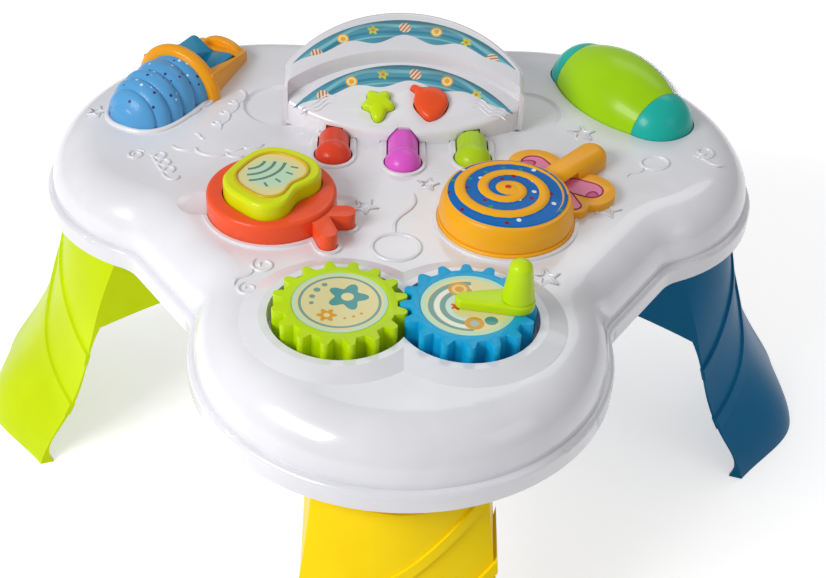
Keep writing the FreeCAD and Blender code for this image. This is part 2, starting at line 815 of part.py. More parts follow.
def star_face(grow):
    """Five soft lobes, the one towards the keys drawn out."""
    lobes = 5
    steps = 6 * lobes
    points = []
    for k in range(steps):
        angle = 2 * math.pi * k / steps
        radius = size("star_width") * (STAR_BODY_SHARE + STAR_LOBE_SHARE * math.cos(lobes * angle))
        drawn_out = max(0.0, math.cos(angle)) ** 6
        radius += (size("star_length") - size("star_width")) * STAR_POINT_SHARE * drawn_out
        points.append(V((radius + grow) * math.sin(angle), -(radius + grow) * math.cos(angle), 0))
    return face_of([spline(points, True)])


def balloon_face(grow):
    """Round balloon that narrows to a small knot."""
    r = size("balloon_radius")
    points = []
    for x_share, y_share in BALLOON_SHARES:
        length = math.hypot(x_share, y_share)
        points.append(V(x_share * (r + grow / length), y_share * (r + grow / length), 0))
    return face_of([spline(points, True)])


# the return pads lie in their own rings, below the floors that the skirts stop at
pad_outer = size("button_stem_radius") + moving_gap / 2 + wall / 2
star_behind = size("station_front_behind") + size("star_setback")
balloon_behind = size("station_front_behind") + size("balloon_setback")
for button_name, side, behind, outline in (
        ("star_button", -size("star_side"), star_behind, star_face),
        ("balloon_button", size("balloon_side"), balloon_behind, balloon_face)):
    frame = face_frame(side, behind)
    low = -size("button_skirt") - size("button_travel")
    cap = soft_cap(outline, -size("button_skirt"), size("button_rise"), size("button_round"))
    stem = Part.makeCylinder(size("button_stem_radius"), size("button_travel") + size("button_stem_reach"),
                             V(0, 0, low - size("button_stem_reach")))
    pocket = moved(outline(moving_gap / 2), V(0, 0, low)).extrude(V(0, 0, size("button_skirt") + 4 * over))
    hole = Part.makeCylinder(size("button_stem_radius") + moving_gap / 2, 9 * over, V(0, 0, low - 8 * over))
    pad_room = Part.makeCylinder(pad_outer + gap, size("pad_thickness") + size("button_travel"),
                                 V(0, 0, low - size("pad_thickness")))
    button = cap.fuse(stem).removeSplitter()
    for tool in (pocket, hole, pad_room):
        tool.Placement = frame
        station = station.cut(tool)
    button.Placement = frame
    node(button_name, button.copy())


# printed bands lie on the two sloping faces along their arched edges, with
# waves of this share of their width, and narrow by this share to their ends
BAND_WAVE_SHARE = 0.28
BAND_TAPER_SHARE = 0.35


def band(outline_wire_radius, crown_y, width, level, slope, half_width_in, waves):
    """Strip that follows an arch, its front edge a row of waves."""
    steps = 4 * waves
    outer = []
    inner = []
    for k in range(steps + 1):
        x = -half_width_in + 2.0 * half_width_in * k / steps
        y = crown_y - arc_y(outline_wire_radius, x)
        outer.append(V(x, y, 0))
        wave = 1.0 + BAND_WAVE_SHARE * math.cos(2 * math.pi * k / 4)
        drop = width * wave * (1.0 - BAND_TAPER_SHARE * abs(x) / half_width_in)
        inner.append(V(x, y - drop, 0))
    edges = [spline(outer), Part.LineSegment(outer[-1], inner[-1]).toShape(),
             spline(list(reversed(inner))), Part.LineSegment(inner[0], outer[0]).toShape()]
    column = moved(face_of(edges), V(0, 0, deck)).extrude(V(0, 0, 2 * half))
    high_side = above_plane(level, slope, -size("band_thickness"))
    return column.common(above_plane(level, slope, 0)).cut(high_side)


band_margin = size("band_margin")
upper_crown = at(0, size("station_back_behind")).y - band_margin
upper_w = half + size("station_wall")
sag = size("station_back_behind") - size("station_side_behind")
upper_arch_radius = (upper_w * upper_w + sag * sag) / (2 * sag)
waves = int(size("band_waves"))
upper_band = band(upper_arch_radius, upper_crown, size("upper_band_width"), upper_level,
                  size("station_upper_slope"), upper_w - band_margin, waves)
lower_band = band(size("station_arch_radius"), at(0, size("station_arch_behind")).y - band_margin / 2,
                  size("lower_band_width"), lower_level, size("station_face_slope"),
                  half - size("lower_band_margin"), waves)
node("music_station", station.removeSplitter())
node("upper_band", upper_band)
node("lower_band", lower_band)

# the deck is open under the station for the keys' tails and the wiring
deck_window = box(at(0, size("window_behind")), size("window_length"), size("window_depth"),
                  deck - 2 * wall, deck + over)
shell = shell.cut(deck_window)
for key_name, side, front in key_places:
    shell = shell.cut(box(V(side, (front_y + pivot_y + over) / 2, 0), size("key_tail_width") + 2 * moving_gap,
                          pivot_y - front_y + over, deck - 2 * wall, deck + over))

# Finger dishes beside the station, cut by a sphere pressed flat to this share
DISH_FLAT_SHARE = 0.28
for sign in (-1, 1):
    bowl = Part.makeSphere(size("dish_radius"))
    flat = FreeCAD.Matrix()
    flat.scale(1, 1, DISH_FLAT_SHARE)
    bowl = bowl.transformGeometry(flat)
    bowl.translate(at(sign * size("dish_side"), size("dish_behind"), deck + wall / 2))
    shell = shell.cut(bowl.common(box(bowl.BoundBox.Center, 4 * half, 4 * half, deck - size("dish_depth"),
                                      deck + over)))

# Gears


def gear_face():
    """Closed outline with straight-sided teeth that have round tips."""
    teeth = int(round(size("gear_teeth")))
    tip = size("gear_tip_radius")
    root = size("gear_root_radius")
    half_root = size("tooth_root_width") / 2
    half_tip = size("tooth_tip_width") / 2
    edges = []
    shoulder = tip - size("tooth_tip_drop")
    for k in range(teeth):
        spin = FreeCAD.Rotation(Z, 360.0 * k / teeth)
        nxt = FreeCAD.Rotation(Z, 360.0 * (k + 1) / teeth)
        mid = FreeCAD.Rotation(Z, 360.0 * (k + 0.5) / teeth)
        root_x = math.sqrt(root * root - half_root * half_root)
        a = spin.multVec(V(root_x, -half_root, 0))
        b = spin.multVec(V(shoulder, -half_tip, 0))
        c = spin.multVec(V(tip, 0, 0))
        d = spin.multVec(V(shoulder, half_tip, 0))
        e = spin.multVec(V(root_x, half_root, 0))
        f = nxt.multVec(V(root_x, -half_root, 0))
        edges.append(Part.LineSegment(a, b).toShape())
        edges.append(Part.Arc(b, c, d).toShape())
        edges.append(Part.LineSegment(d, e).toShape())
        edges.append(Part.Arc(e, mid.multVec(V(root, 0, 0)), f).toShape())
    return face_of(edges)


gear_blank = gear_face().extrude(V(0, 0, size("gear_height")))
gear_blank = gear_blank.cut(Part.makeCylinder(size("gear_bore_radius"), size("gear_height") - wall,
                                              V(0, 0, 0)))
label_seat = Part.makeCylinder(size("gear_label_radius") + gap / 2, size("gear_label_thickness"),
                               V(0, 0, size("gear_height") - size("gear_label_thickness")))
gear_blank = gear_blank.cut(label_seat)
half_tooth = 180.0 / size("gear_teeth")
GEARS = (("gear_green", gear_centres[0], half_tooth), ("gear_blue", gear_centres[1], 0.0))
for gear_name, centre, phase in GEARS:
    node(gear_name, moved(turned(gear_blank, phase), V(centre.x, centre.y, gear_z0)))
for label_name, side in (("label_green", -1), ("label_blue", 1)):
    label = doc.addObject("Part::Cylinder", label_name)
    label.setExpression("Radius", "Sizes.gear_label_radius")
    label.setExpression("Height", "Sizes.gear_label_thickness")
    centre = gear_centres[0] if side < 0 else gear_centres[1]
    label.Placement = FreeCAD.Placement(V(centre.x, centre.y, 0), FreeCAD.Rotation())
    label.setExpression(".Placement.Base.z",
                        "Sizes.leg_height + Sizes.top_height + Sizes.gear_rise - Sizes.gear_label_thickness")
    keep(label, label_name)

# Crank on the blue gear: a tapered arm with a free-turning knob

crank_centre = gear_centres[1]
arm_low = deck + size("gear_rise")
arm_high = arm_low + size("crank_thickness")
small_r = size("crank_small_radius")
big_r = size("crank_big_radius")
start = -size("crank_setback")
end = size("crank_reach")
lean = math.asin((big_r - small_r) / (end - start))
sin_l = math.sin(lean)
cos_l = math.cos(lean)
small_in = V(small_r * sin_l, small_r * cos_l, 0)
big_in = V(big_r * sin_l, big_r * cos_l, 0)
small_left = V(start - small_in.x, small_in.y, 0)
small_right = V(start - small_in.x, -small_in.y, 0)
big_left = V(end - big_in.x, big_in.y, 0)
big_right = V(end - big_in.x, -big_in.y, 0)
arm_face = face_of([
    Part.LineSegment(small_left, big_left).toShape(),
    Part.Arc(big_left, V(end + big_r, 0, 0), big_right).toShape(),
    Part.LineSegment(big_right, small_right).toShape(),
    Part.Arc(small_right, V(start - small_r, 0, 0), small_left).toShape(),
])
arm = arm_face.extrude(V(0, 0, size("crank_thickness")))
arm = arm.makeFillet(size("crank_round"), edges_at(arm, size("crank_thickness")))
pin_low = size("crank_thickness") - wall / 2
pin = Part.makeCylinder(size("knob_pin_radius"), size("knob_pin_length"), V(end, 0, pin_low))
arm = arm.fuse(pin).removeSplitter()
node("crank_arm", moved(arm, V(crank_centre.x, crank_centre.y, arm_low)))

knob_z0 = arm_high + gap
base_r = size("knob_base_radius")
top_r = size("knob_top_radius")
knob_h = size("knob_height")
dome = size("knob_dome_height")
squash = FreeCAD.Matrix()
squash.scale(1, 1, dome / top_r)
crown = Part.makeSphere(top_r).transformGeometry(squash)
crown.translate(V(0, 0, knob_h - dome))
knob = Part.makeCone(base_r, top_r, knob_h - dome).fuse(crown)
knob = knob.cut(Part.makeCylinder(size("knob_pin_radius") + size("running_gap"), size("knob_pin_length")))
node("crank_knob", moved(knob, V(crank_centre.x + end, crank_centre.y, knob_z0)))

# Apple: base, push button and its printed label

base_top = deck + size("apple_base_height")


APPLE_SHARES = [(-0.485, 0.02), (-0.34, 0.31), (-0.07, 0.55), (0.28, 0.46), (0.51, 0.16), (0.46, -0.05),
                (0.29, -0.22), (0.16, -0.50), (-0.06, -0.57), (-0.28, -0.43), (-0.44, -0.25)]


def apple_face(scale, grow):
    points = []
    for x_share, y_share in APPLE_SHARES:
        length = math.hypot(x_share, y_share)
        points.append(V(x_share * (scale + grow / length), y_share * (scale + grow / length), 0))
    return face_of([spline(points, True)])


def apple_outline(grow):
    return apple_face(button_scale, grow)


base_face = disc(V(0, 0, 0), size("apple_radius"))
apple_base = base_face.extrude(V(0, 0, size("apple_base_height")))
stem_w = size("apple_stem_width")
r = size("apple_radius")
# where the stem and the leaf start and end, in shares of the tray's radius
FINGER_START_SHARES = (0.70, -0.45)
FINGER_END_SHARES = ((1.15, -0.435), (0.895, -0.975))


def finger_face(centre, end_shares, width):
    start_x, start_y = FINGER_START_SHARES
    end_x, end_y = end_shares
    return slot_face(centre + V(r * start_x, r * start_y, 0), centre + V(r * end_x, r * end_y, 0), width)


for end_shares in FINGER_END_SHARES:
    finger = finger_face(V(0, 0, 0), end_shares, stem_w).extrude(V(0, 0, size("apple_finger_height")))
    apple_base = apple_base.fuse(finger)
apple_base = apple_base.removeSplitter()
apple_base = apple_base.makeFillet(size("apple_base_round"), edges_at(apple_base, size("apple_base_height")))
pocket = moved(apple_face(button_scale, moving_gap), V(0, 0, size("apple_tray_floor"))).extrude(
    V(0, 0, size("apple_base_height")))
apple_stem = size("apple_stem_radius")
apple_base = apple_base.cut(pocket).cut(Part.makeCylinder(apple_stem + moving_gap, 2 * over, V(0, 0, -over)))
node("apple_base", moved(apple_base, V(apple_centre.x, apple_centre.y, deck)))

travel = size("apple_travel")
button_low = deck + size("apple_tray_floor") + travel + gap
button_top = base_top + size("apple_button_height")
button = soft_cap(apple_outline, button_low, button_top, size("apple_button_round"))
label_scale = button_scale * size("apple_label_share")
label_low = button_top - size("label_thickness")
seat = moved(apple_face(label_scale, gap / 2), V(0, 0, label_low))
button = button.cut(seat.extrude(V(0, 0, over)))
stem_low = well_floor + size("pad_thickness") + travel + gap
button = button.fuse(Part.makeCylinder(apple_stem, button_low - stem_low + wall, V(0, 0, stem_low)))
node("apple_button", moved(button.removeSplitter(), V(apple_centre.x, apple_centre.y, 0)))
label = moved(apple_face(label_scale, 0), V(0, 0, label_low))
node("apple_label", moved(label.extrude(V(0, 0, size("label_thickness"))),
                          V(apple_centre.x, apple_centre.y, 0)))

# Lollipop: fixed ring with stick and bow, turning drum with a raised spiral

lolly_centre = at(size("lolly_side"), size("lolly_behind"))
ring = Part.makeCylinder(size("lolly_base_radius"), size("lolly_ring_height"))
ring = ring.makeFillet(size("lolly_ring_round"), edges_at(ring, size("lolly_ring_height")))
stick_dir = FreeCAD.Rotation(Z, size("stick_turn")).multVec(V(1, 0, 0))
stick_start = stick_dir * (size("lolly_base_radius") - size("stick_width") / 2)
stick_end = stick_dir * (size("lolly_base_radius") + size("stick_length") - size("stick_width") / 2)
stick = slot_face(stick_start, stick_end, size("stick_width")).extrude(V(0, 0, size("stick_height")))
stick = stick.makeFillet(size("stick_round"), edges_at(stick, size("stick_height")))
across = V(-stick_dir.y, stick_dir.x, 0)
knot = stick_dir * (size("lolly_base_radius") + size("bow_knot_out"))
base = ring.fuse(stick)
wing_seats = []
# how far out and along each bow lobe sits, and its radius, in shares of the wing's radius
WING_SHARES = ((1.15, 0.35, 1.0), (1.30, -0.72, 0.58))
SEAT_START_SHARE = 0.62
SEAT_END_SHARE = 1.08
for sign in (-1, 1):
    for out, along, share in WING_SHARES:
        aside = across * (sign * size("wing_radius") * out)
        centre = knot + aside + stick_dir * (size("wing_radius") * along)
        lobe = Part.makeCylinder(size("wing_radius") * share, size("wing_height"), centre)
        bridge = slot_face(knot, centre, size("wing_radius") * share).extrude(V(0, 0, size("wing_height")))
        base = base.fuse([lobe, bridge])
        wing_seats.append((knot + (centre - knot) * SEAT_START_SHARE, knot + (centre - knot) * SEAT_END_SHARE,
                           size("wing_radius") * share))
base = base.removeSplitter()
drum_gap_radius = size("lolly_base_radius") - size("lolly_ring_round")
drum_room = Part.makeCylinder(drum_gap_radius + moving_gap / 2, size("lolly_rise") + over,
                              V(0, 0, size("lolly_ring_height")))
base = base.cut(drum_room)
for seat_start, seat_end, seat_width in wing_seats:
    seat = slot_face(seat_start, seat_end, seat_width)
    base = base.cut(moved(seat,
                          V(0, 0, size("wing_height") - size("label_thickness"))).extrude(V(0, 0, over)))
base = base.cut(drum_room).fuse(Part.makeCylinder(size("lolly_shaft_radius"), size("lolly_shaft_height")))
node("lollipop_base", moved(base.removeSplitter(), V(lolly_centre.x, lolly_centre.y, deck)))
inlays = []
for seat_start, seat_end, seat_width in wing_seats:
    flat = slot_face(seat_start, seat_end, seat_width - gap).extrude(V(0, 0, size("label_thickness")))
    flat.translate(V(0, 0, size("wing_height") - size("label_thickness")))
    flat = flat.cut(Part.makeCylinder(drum_gap_radius + moving_gap, size("wing_height")))
    inlays.append(moved(flat, V(lolly_centre.x, lolly_centre.y, deck)))
node("bow_inlays", Part.makeCompound(inlays))

drum_low = size("lolly_ring_height") + gap
drum_high = size("lolly_rise")
drum_rim = size("lolly_top_radius")
DRUM_WAIST_SHARE = 0.985
DRUM_WAIST_RISE_SHARE = 0.7
drum_waist = V(drum_gap_radius * DRUM_WAIST_SHARE, 0, drum_high * DRUM_WAIST_RISE_SHARE)
drum_profile = face_of([
    Part.LineSegment(V(0, 0, drum_low), V(drum_gap_radius, 0, drum_low)).toShape(),
    Part.Arc(V(drum_gap_radius, 0, drum_low), drum_waist, V(drum_rim, 0, drum_high)).toShape(),
    Part.LineSegment(V(drum_rim, 0, drum_high), V(0, 0, drum_high)).toShape(),
    Part.LineSegment(V(0, 0, drum_high), V(0, 0, drum_low)).toShape(),
])
drum = drum_profile.revolve(V(0, 0, 0), Z, 360)
inlay_depth = size("label_thickness")
inlay_radius = size("lolly_inlay_radius")


def spiral_face():
    """Arm that runs inwards from the rim at an even pitch."""
    turns = (inlay_radius - size("lolly_boss_radius")) / size("lolly_spiral_pitch")
    steps = int(12 * turns) + 1
    outer = []
    inner = []
    for k in range(steps + 1):
        angle = 2 * math.pi * turns * k / steps
        radius = inlay_radius + gap - size("lolly_spiral_pitch") * angle / (2 * math.pi)
        outer.append(V((radius + size("lolly_spiral_width") / 2) * math.cos(angle),
                       (radius + size("lolly_spiral_width") / 2) * math.sin(angle), 0))
        inner.append(V((radius - size("lolly_spiral_width") / 2) * math.cos(angle),
                       (radius - size("lolly_spiral_width") / 2) * math.sin(angle), 0))
    return face_of([spline(outer), Part.LineSegment(outer[-1], inner[-1]).toShape(),
                    spline(list(reversed(inner))), Part.LineSegment(inner[0], outer[0]).toShape()])


arm = spiral_face().extrude(V(0, 0, inlay_depth + size("lolly_spiral_rise")))
arm.translate(V(0, 0, drum_high - inlay_depth))
boss = Part.makeCylinder(size("lolly_boss_radius"), inlay_depth + size("lolly_spiral_rise"),
                         V(0, 0, drum_high - inlay_depth))
arm = arm.fuse(boss).removeSplitter()
seat = Part.makeCylinder(inlay_radius, over, V(0, 0, drum_high - inlay_depth))
drum = drum.cut(seat).fuse(arm)
drum = drum.cut(Part.makeCylinder(size("lolly_shaft_radius") + size("running_gap"),
                                  size("lolly_shaft_height") + gap))
node("lollipop_drum", moved(drum.removeSplitter(), V(lolly_centre.x, lolly_centre.y, deck)))
inlay = Part.makeCylinder(inlay_radius - gap / 2, inlay_depth, V(0, 0, drum_high - inlay_depth))
inlay = inlay.cut(arm)
node("lollipop_inlay", moved(inlay, V(lolly_centre.x, lolly_centre.y, deck)))

# Candy roller: lime half shell, clear window half, two teal end caps, pins

roller_centre = at(size("roller_side"), size("roller_behind"), deck - size("roller_drop"))
roller_frame = FreeCAD.Placement(roller_centre, FreeCAD.Rotation(Z, -size("roller_turn")))
half_len = size("roller_length") / 2
barrel_half = half_len - size("roller_cap_length")


def barrel_profile(inset, upto, grow=0.0):
    """Revolved about X: crowned barrel between the caps."""
    mid = size("roller_mid_radius") - inset + grow
    end_r = size("roller_end_radius") - inset + grow
    return face_of([
        Part.LineSegment(V(-upto, 0, 0), V(upto, 0, 0)).toShape(),
        Part.LineSegment(V(upto, 0, 0), V(upto, 0, end_r)).toShape(),
        Part.Arc(V(upto, 0, end_r), V(0, 0, mid), V(-upto, 0, end_r)).toShape(),
        Part.LineSegment(V(-upto, 0, end_r), V(-upto, 0, 0)).toShape(),
    ]).revolve(V(0, 0, 0), V(1, 0, 0), 360)


# a point on the cap's round end: how far out, and its radius
CAP_OUT_SHARE = 0.72
CAP_RADIUS_SHARE = 0.68


def cap_solid(grow):
    """Domed end, revolved about X."""
    start_x = barrel_half + gap - grow
    tip = half_len + grow
    r_end = size("roller_end_radius") + grow
    shoulder = V(start_x + (tip - start_x) * CAP_OUT_SHARE, 0, r_end * CAP_RADIUS_SHARE)
    profile = face_of([
        Part.LineSegment(V(start_x, 0, 0), V(start_x, 0, r_end)).toShape(),
        Part.Arc(V(start_x, 0, r_end), shoulder, V(tip, 0, 0)).toShape(),
        Part.LineSegment(V(tip, 0, 0), V(start_x, 0, 0)).toShape(),
    ])
    return profile.revolve(V(0, 0, 0), V(1, 0, 0), 360)


barrel = barrel_profile(0, barrel_half).cut(barrel_profile(size("roller_wall"),
                                                           barrel_half - size("roller_wall")))
cutter = Part.makeBox(4 * half_len, 4 * half_len, 4 * half_len, V(-2 * half_len, 0, -2 * half_len))
cutter.rotate(V(0, 0, 0), V(1, 0, 0), -size("window_tilt"))
lime_half = barrel.cut(cutter)
clear_half = barrel.common(moved(cutter, V(0, gap, 0)))
caps = cap_solid(0)
axle_bore = Part.makeCylinder(size("axle_radius") + size("running_gap"), 4 * half_len, V(-2 * half_len, 0, 0),
                              V(1, 0, 0))
cap_right = caps.cut(axle_bore)
cap_left = cap_right.copy()
cap_left.rotate(V(0, 0, 0), Z, 180)
# place along the barrel and turn round it, as shares of half the barrel and of the beads' spread
BEAD_SHARES = ((-0.55, 0.7), (-0.2, -1.0), (0.15, 0.8), (0.5, -0.6))
crown_radius = (barrel_half ** 2 + (size("roller_mid_radius") - size("roller_end_radius")) ** 2) / (
    2 * (size("roller_mid_radius") - size("roller_end_radius")))
beads = []
for x_share, turn_share in BEAD_SHARES:
    x = x_share * barrel_half
    inner = size("roller_mid_radius") - arc_y(crown_radius, x) - size("roller_wall")
    bead = Part.makeSphere(size("bead_radius"), V(x, 0, size("bead_radius") + gap - inner))
    bead.rotate(V(0, 0, 0), V(1, 0, 0), turn_share * size("bead_spread"))
    beads.append(bead)


def framed(shape, frame):
    result = shape.copy()
    result.Placement = frame.multiply(result.Placement)
    return result


node("roller_shell", framed(lime_half.cut(axle_bore), roller_frame))
node("roller_window", framed(clear_half.cut(axle_bore), roller_frame))
node("roller_caps", framed(Part.makeCompound([cap_right, cap_left]), roller_frame))
node("roller_beads", framed(Part.makeCompound(beads), roller_frame))


bracket_start = half_len + moving_gap
bracket_width = 3 * size("roller_end_radius") / 4
axle = doc.addObject("Part::Cylinder", "roller_axle")
axle.setExpression("Radius", "Sizes.axle_radius")
axle.setExpression("Height", "Sizes.roller_length + 2 * Sizes.moving_gap + 2 * Sizes.cradle_wall")
axle.Placement = roller_frame.multiply(
    FreeCAD.Placement(V(-bracket_start - size("cradle_wall"), 0, 0), FreeCAD.Rotation(V(0, 1, 0), 90)))
keep(axle, "roller_axle")
roller_room = barrel_profile(0, barrel_half + gap, moving_gap).fuse([cap_solid(moving_gap)])
left_room = cap_solid(moving_gap)
left_room.rotate(V(0, 0, 0), Z, 180)
roller_room = roller_room.fuse(left_room)
shell = shell.cut(framed(roller_room, roller_frame))
for sign in (-1, 1):
    x0 = bracket_start if sign > 0 else -bracket_start - size("cradle_wall")
    bracket = Part.makeBox(size("cradle_wall"), bracket_width, size("roller_drop") + 2 * wall,
                           V(x0, -bracket_width / 2, -3 * size("axle_radius")))
    bracket_top = size("roller_drop") - wall / 2
    bracket = bracket.common(Part.makeBox(4 * half_len, 4 * half_len, 4 * half_len,
                                          V(-2 * half_len, -2 * half_len, bracket_top - 4 * half_len)))
    shell = shell.fuse(framed(bracket, roller_frame))
bracket_bore_half = bracket_start + size("cradle_wall") + gap / 2
bracket_bore = axle_bore.common(Part.makeBox(2 * bracket_bore_half, 4 * over, 4 * over,
                                             V(-bracket_bore_half, -2 * over, -2 * over)))
shell = shell.cut(framed(bracket_bore, roller_frame))

# Ice cream: a turning swirl, an orange ring and cone, and a rocker in the cone

cone_frame = FreeCAD.Placement(at(-size("cone_side"), size("cone_behind"), deck),
                               FreeCAD.Rotation(Z, size("cone_turn")))
# where the swirl's folds lie along it; its outline falls off with this power of that share
SWIRL_SHARES = (0.23, 0.45, 0.65, 0.82, 0.94)
SWIRL_POWER = 2.4
TIP_ROUND_SHARE = 0.72
SWIRL_HOLLOW_SHARE = 0.55


def swirl_solid(grow):
    """Segments that shrink to the tip, revolved about the cone's axis."""
    length = size("swirl_length")
    r0 = size("swirl_base_radius")
    x0 = -size("ring_width") / 2 - gap + grow
    edges = [Part.LineSegment(V(x0, 0, 0), V(x0, 0, r0 + grow)).toShape()]
    x = x0
    r_here = r0 + grow
    for share in SWIRL_SHARES:
        x_next = x0 - (length + grow) * share
        r_next = (r0 + grow) * math.sqrt(1 - share ** SWIRL_POWER) - size("swirl_bulge") / 2
        fold = size("swirl_bulge")
        mid = V((x + x_next) / 2 - fold * share, 0, (r_here + r_next) / 2 + fold)
        edges.append(Part.Arc(V(x, 0, r_here), mid, V(x_next, 0, r_next)).toShape())
        x = x_next
        r_here = r_next
    tip_x = x0 - length - grow
    tip_mid = V((x + tip_x) / 2 - size("swirl_bulge") / 2, 0, r_here * TIP_ROUND_SHARE)
    edges.append(Part.Arc(V(x, 0, r_here), tip_mid, V(tip_x, 0, 0)).toShape())
    edges.append(Part.LineSegment(V(tip_x, 0, 0), V(x0, 0, 0)).toShape())
    return face_of(edges).revolve(V(0, 0, 0), V(1, 0, 0), 360)


above_deck = Part.makeBox(8 * half_len, 8 * half_len, 4 * half_len, V(-4 * half_len, -4 * half_len, 0))
hollow_length = size("swirl_length") * SWIRL_HOLLOW_SHARE
swirl_hollow = Part.makeCylinder(size("swirl_base_radius") - 2 * wall, hollow_length,
                                 V(-size("ring_width") / 2 - gap - hollow_length, 0, 0), V(1, 0, 0))
swirl = swirl_solid(0).cut(swirl_hollow).common(above_deck)
node("ice_cream_swirl", framed(swirl, cone_frame))
rim = size("rim_width")
swirl_rim = swirl_solid(rim).cut(swirl_solid(gap)).common(
    Part.makeBox(8 * half_len, 8 * half_len, wall / 2 + size("rim_rise"),
                 V(-4 * half_len, -4 * half_len, -wall / 2)))
shell = shell.fuse(framed(swirl_rim, cone_frame))

ring_half = size("ring_width") / 2
ring_r = size("ring_radius")
squash = FreeCAD.Matrix()
squash.scale(1, 1, size("ring_rise") / ring_r)
band_solid = Part.makeCylinder(ring_r, size("ring_width"), V(-ring_half, 0, 0), V(1, 0, 0))
band_solid = band_solid.transformGeometry(squash)
band_solid = band_solid.common(Part.makeBox(8 * ring_r, 8 * ring_r, 8 * ring_r,
                                            V(-4 * ring_r, -4 * ring_r, 0)))
long_edges = [e for e in band_solid.Edges if e.BoundBox.ZMax > size("ring_rise") / 2]
band_solid = band_solid.makeFillet(size("cone_ring_round"), long_edges)
cone_end = size("cone_end_half_width")
cone_len = size("cone_length")
cone_start = size("cone_start_half_width")
cone_tip_x = cone_len + size("cone_tip_length")
cone_face = Part.Face(polygon([V(0, -cone_start, 0), V(cone_len, -cone_end, 0), V(cone_tip_x, 0, 0),
                               V(cone_len, cone_end, 0), V(0, cone_start, 0)]))
cone_solid = cone_face.extrude(V(0, 0, size("cone_frame_rise")))
slope_cut = Part.Face(polygon([V(0, -ring_r, size("cone_frame_rise")),
                               V(cone_tip_x, -ring_r, size("cone_tip_rise")),
                               V(cone_tip_x, -ring_r, 4 * over + ring_r), V(0, -ring_r, 4 * over + ring_r)]))
cone_solid = cone_solid.cut(slope_cut.extrude(V(0, 2 * ring_r, 0)))
tray_start = ring_half + size("cone_wall") / 2
tray_half = size("rocker_half_width") + moving_gap
tray_len = size("rocker_length") + 2 * moving_gap
tray = Part.makeBox(tray_len, 2 * tray_half, 4 * over + size("cone_frame_rise"), V(tray_start, -tray_half, 0))
cone_solid = cone_solid.fuse(band_solid).cut(tray)
pivot_rise = size("rocker_thickness") + wall + size("rocker_pin_radius")
rocker_pin_length = tray_len + 2 * size("pin_seat")
pin_bore = Part.makeCylinder(size("rocker_pin_radius") + size("running_gap"), rocker_pin_length + gap,
                             V(tray_start - size("pin_seat") - gap / 2, 0, pivot_rise), V(1, 0, 0))
cone_solid = cone_solid.cut(pin_bore)
node("cone_frame", framed(cone_solid.removeSplitter(), cone_frame))
pitch = size("rocker_pitch")
thick = size("rocker_thickness")
rocker_x0 = tray_start + moving_gap
rock_half = size("rocker_half_width")
plate_length = rock_half / math.cos(math.radians(pitch - size("rocker_swing") / 2))
plates = []
for sign in (-1, 1):
    plate = Part.makeBox(size("rocker_length"), plate_length, thick, V(rocker_x0, 0, 0))
    if sign < 0:
        plate.translate(V(0, -plate_length, 0))
    plate.rotate(V(0, 0, 0), V(1, 0, 0), sign * pitch)
    plates.append(plate)
hub = Part.makeCylinder(size("rocker_pin_radius") + wall, size("rocker_length"), V(rocker_x0, 0, 0),
                        V(1, 0, 0))
rocker = plates[0].fuse([plates[1], hub]).cut(
    Part.makeCylinder(size("rocker_pin_radius") + size("running_gap"), size("rocker_length") + 2 * over,
                      V(rocker_x0 - over, 0, 0), V(1, 0, 0)))
rocker = rocker.removeSplitter()
rocker.rotate(V(0, 0, 0), V(1, 0, 0), size("rocker_swing") / 2)
rocker.translate(V(0, 0, pivot_rise))
node("rocker", framed(rocker, cone_frame))
rocker_pin = doc.addObject("Part::Cylinder", "rocker_pin")
rocker_pin.setExpression("Radius", "Sizes.rocker_pin_radius")
rocker_pin.setExpression("Height", "Sizes.rocker_length + 2 * Sizes.moving_gap + 2 * Sizes.pin_seat")
pin_start = V(tray_start - size("pin_seat"), 0, pivot_rise)
rocker_pin.Placement = cone_frame.multiply(FreeCAD.Placement(pin_start, FreeCAD.Rotation(V(0, 1, 0), 90)))
keep(rocker_pin, "rocker_pin")

# raised rims around the apple and the lollipop, thumb scoops beside the apple
rim_low = deck - wall / 2
rim_high = deck + size("rim_rise")
apple_rim = rod(apple_centre, size("apple_radius") + rim, rim_low, rim_high)
apple_room = rod(apple_centre, size("apple_radius") + gap, rim_low - over, rim_high + over)
for end_shares in FINGER_END_SHARES:
    apple_rim = apple_rim.fuse(prism(finger_face(apple_centre, end_shares, stem_w + 2 * rim), rim_low,
                                     rim_high))
    apple_room = apple_room.fuse(prism(finger_face(apple_centre, end_shares, stem_w + 2 * gap),
                                       rim_low - over,
                                       rim_high + over))
apple_room = apple_room.common(box(apple_centre, 8 * r, 8 * r, deck, rim_high + over))
lolly_rim = rod(lolly_centre, size("lolly_base_radius") + rim, rim_low, rim_high)
lolly_room = rod(lolly_centre, size("lolly_base_radius") + gap, deck, rim_high + over)
stick_room = prism(slot_face(lolly_centre + stick_start, lolly_centre + stick_end,
                             size("stick_width") + 2 * gap),
                   deck, rim_high + over)
wing_room = lolly_room
for sign in (-1, 1):
    for out, along, share in WING_SHARES:
        centre = lolly_centre + knot + across * (sign * size("wing_radius") * out) + stick_dir * (
            size("wing_radius") * along)
        wing_room = wing_room.fuse(rod(centre, size("wing_radius") * share + gap, deck, rim_high + over))
shell = shell.fuse([apple_rim, lolly_rim])
for offset in (-size("left_scoop_offset"), size("right_scoop_offset")):
    scoop = Part.makeSphere(size("scoop_radius"))
    flat = FreeCAD.Matrix()
    flat.scale(1, 1, size("scoop_depth") / size("scoop_radius"))
    scoop = scoop.transformGeometry(flat)
    scoop.translate(V(apple_centre.x + offset, apple_centre.y + size("scoop_behind"), rim_high + wall / 2))
    shell = shell.cut(scoop)
shell = shell.cut(apple_room).cut(wing_room).cut(stick_room)
shell = shell.cut(rod(apple_centre, well_radius, well_floor, rim_high + over))

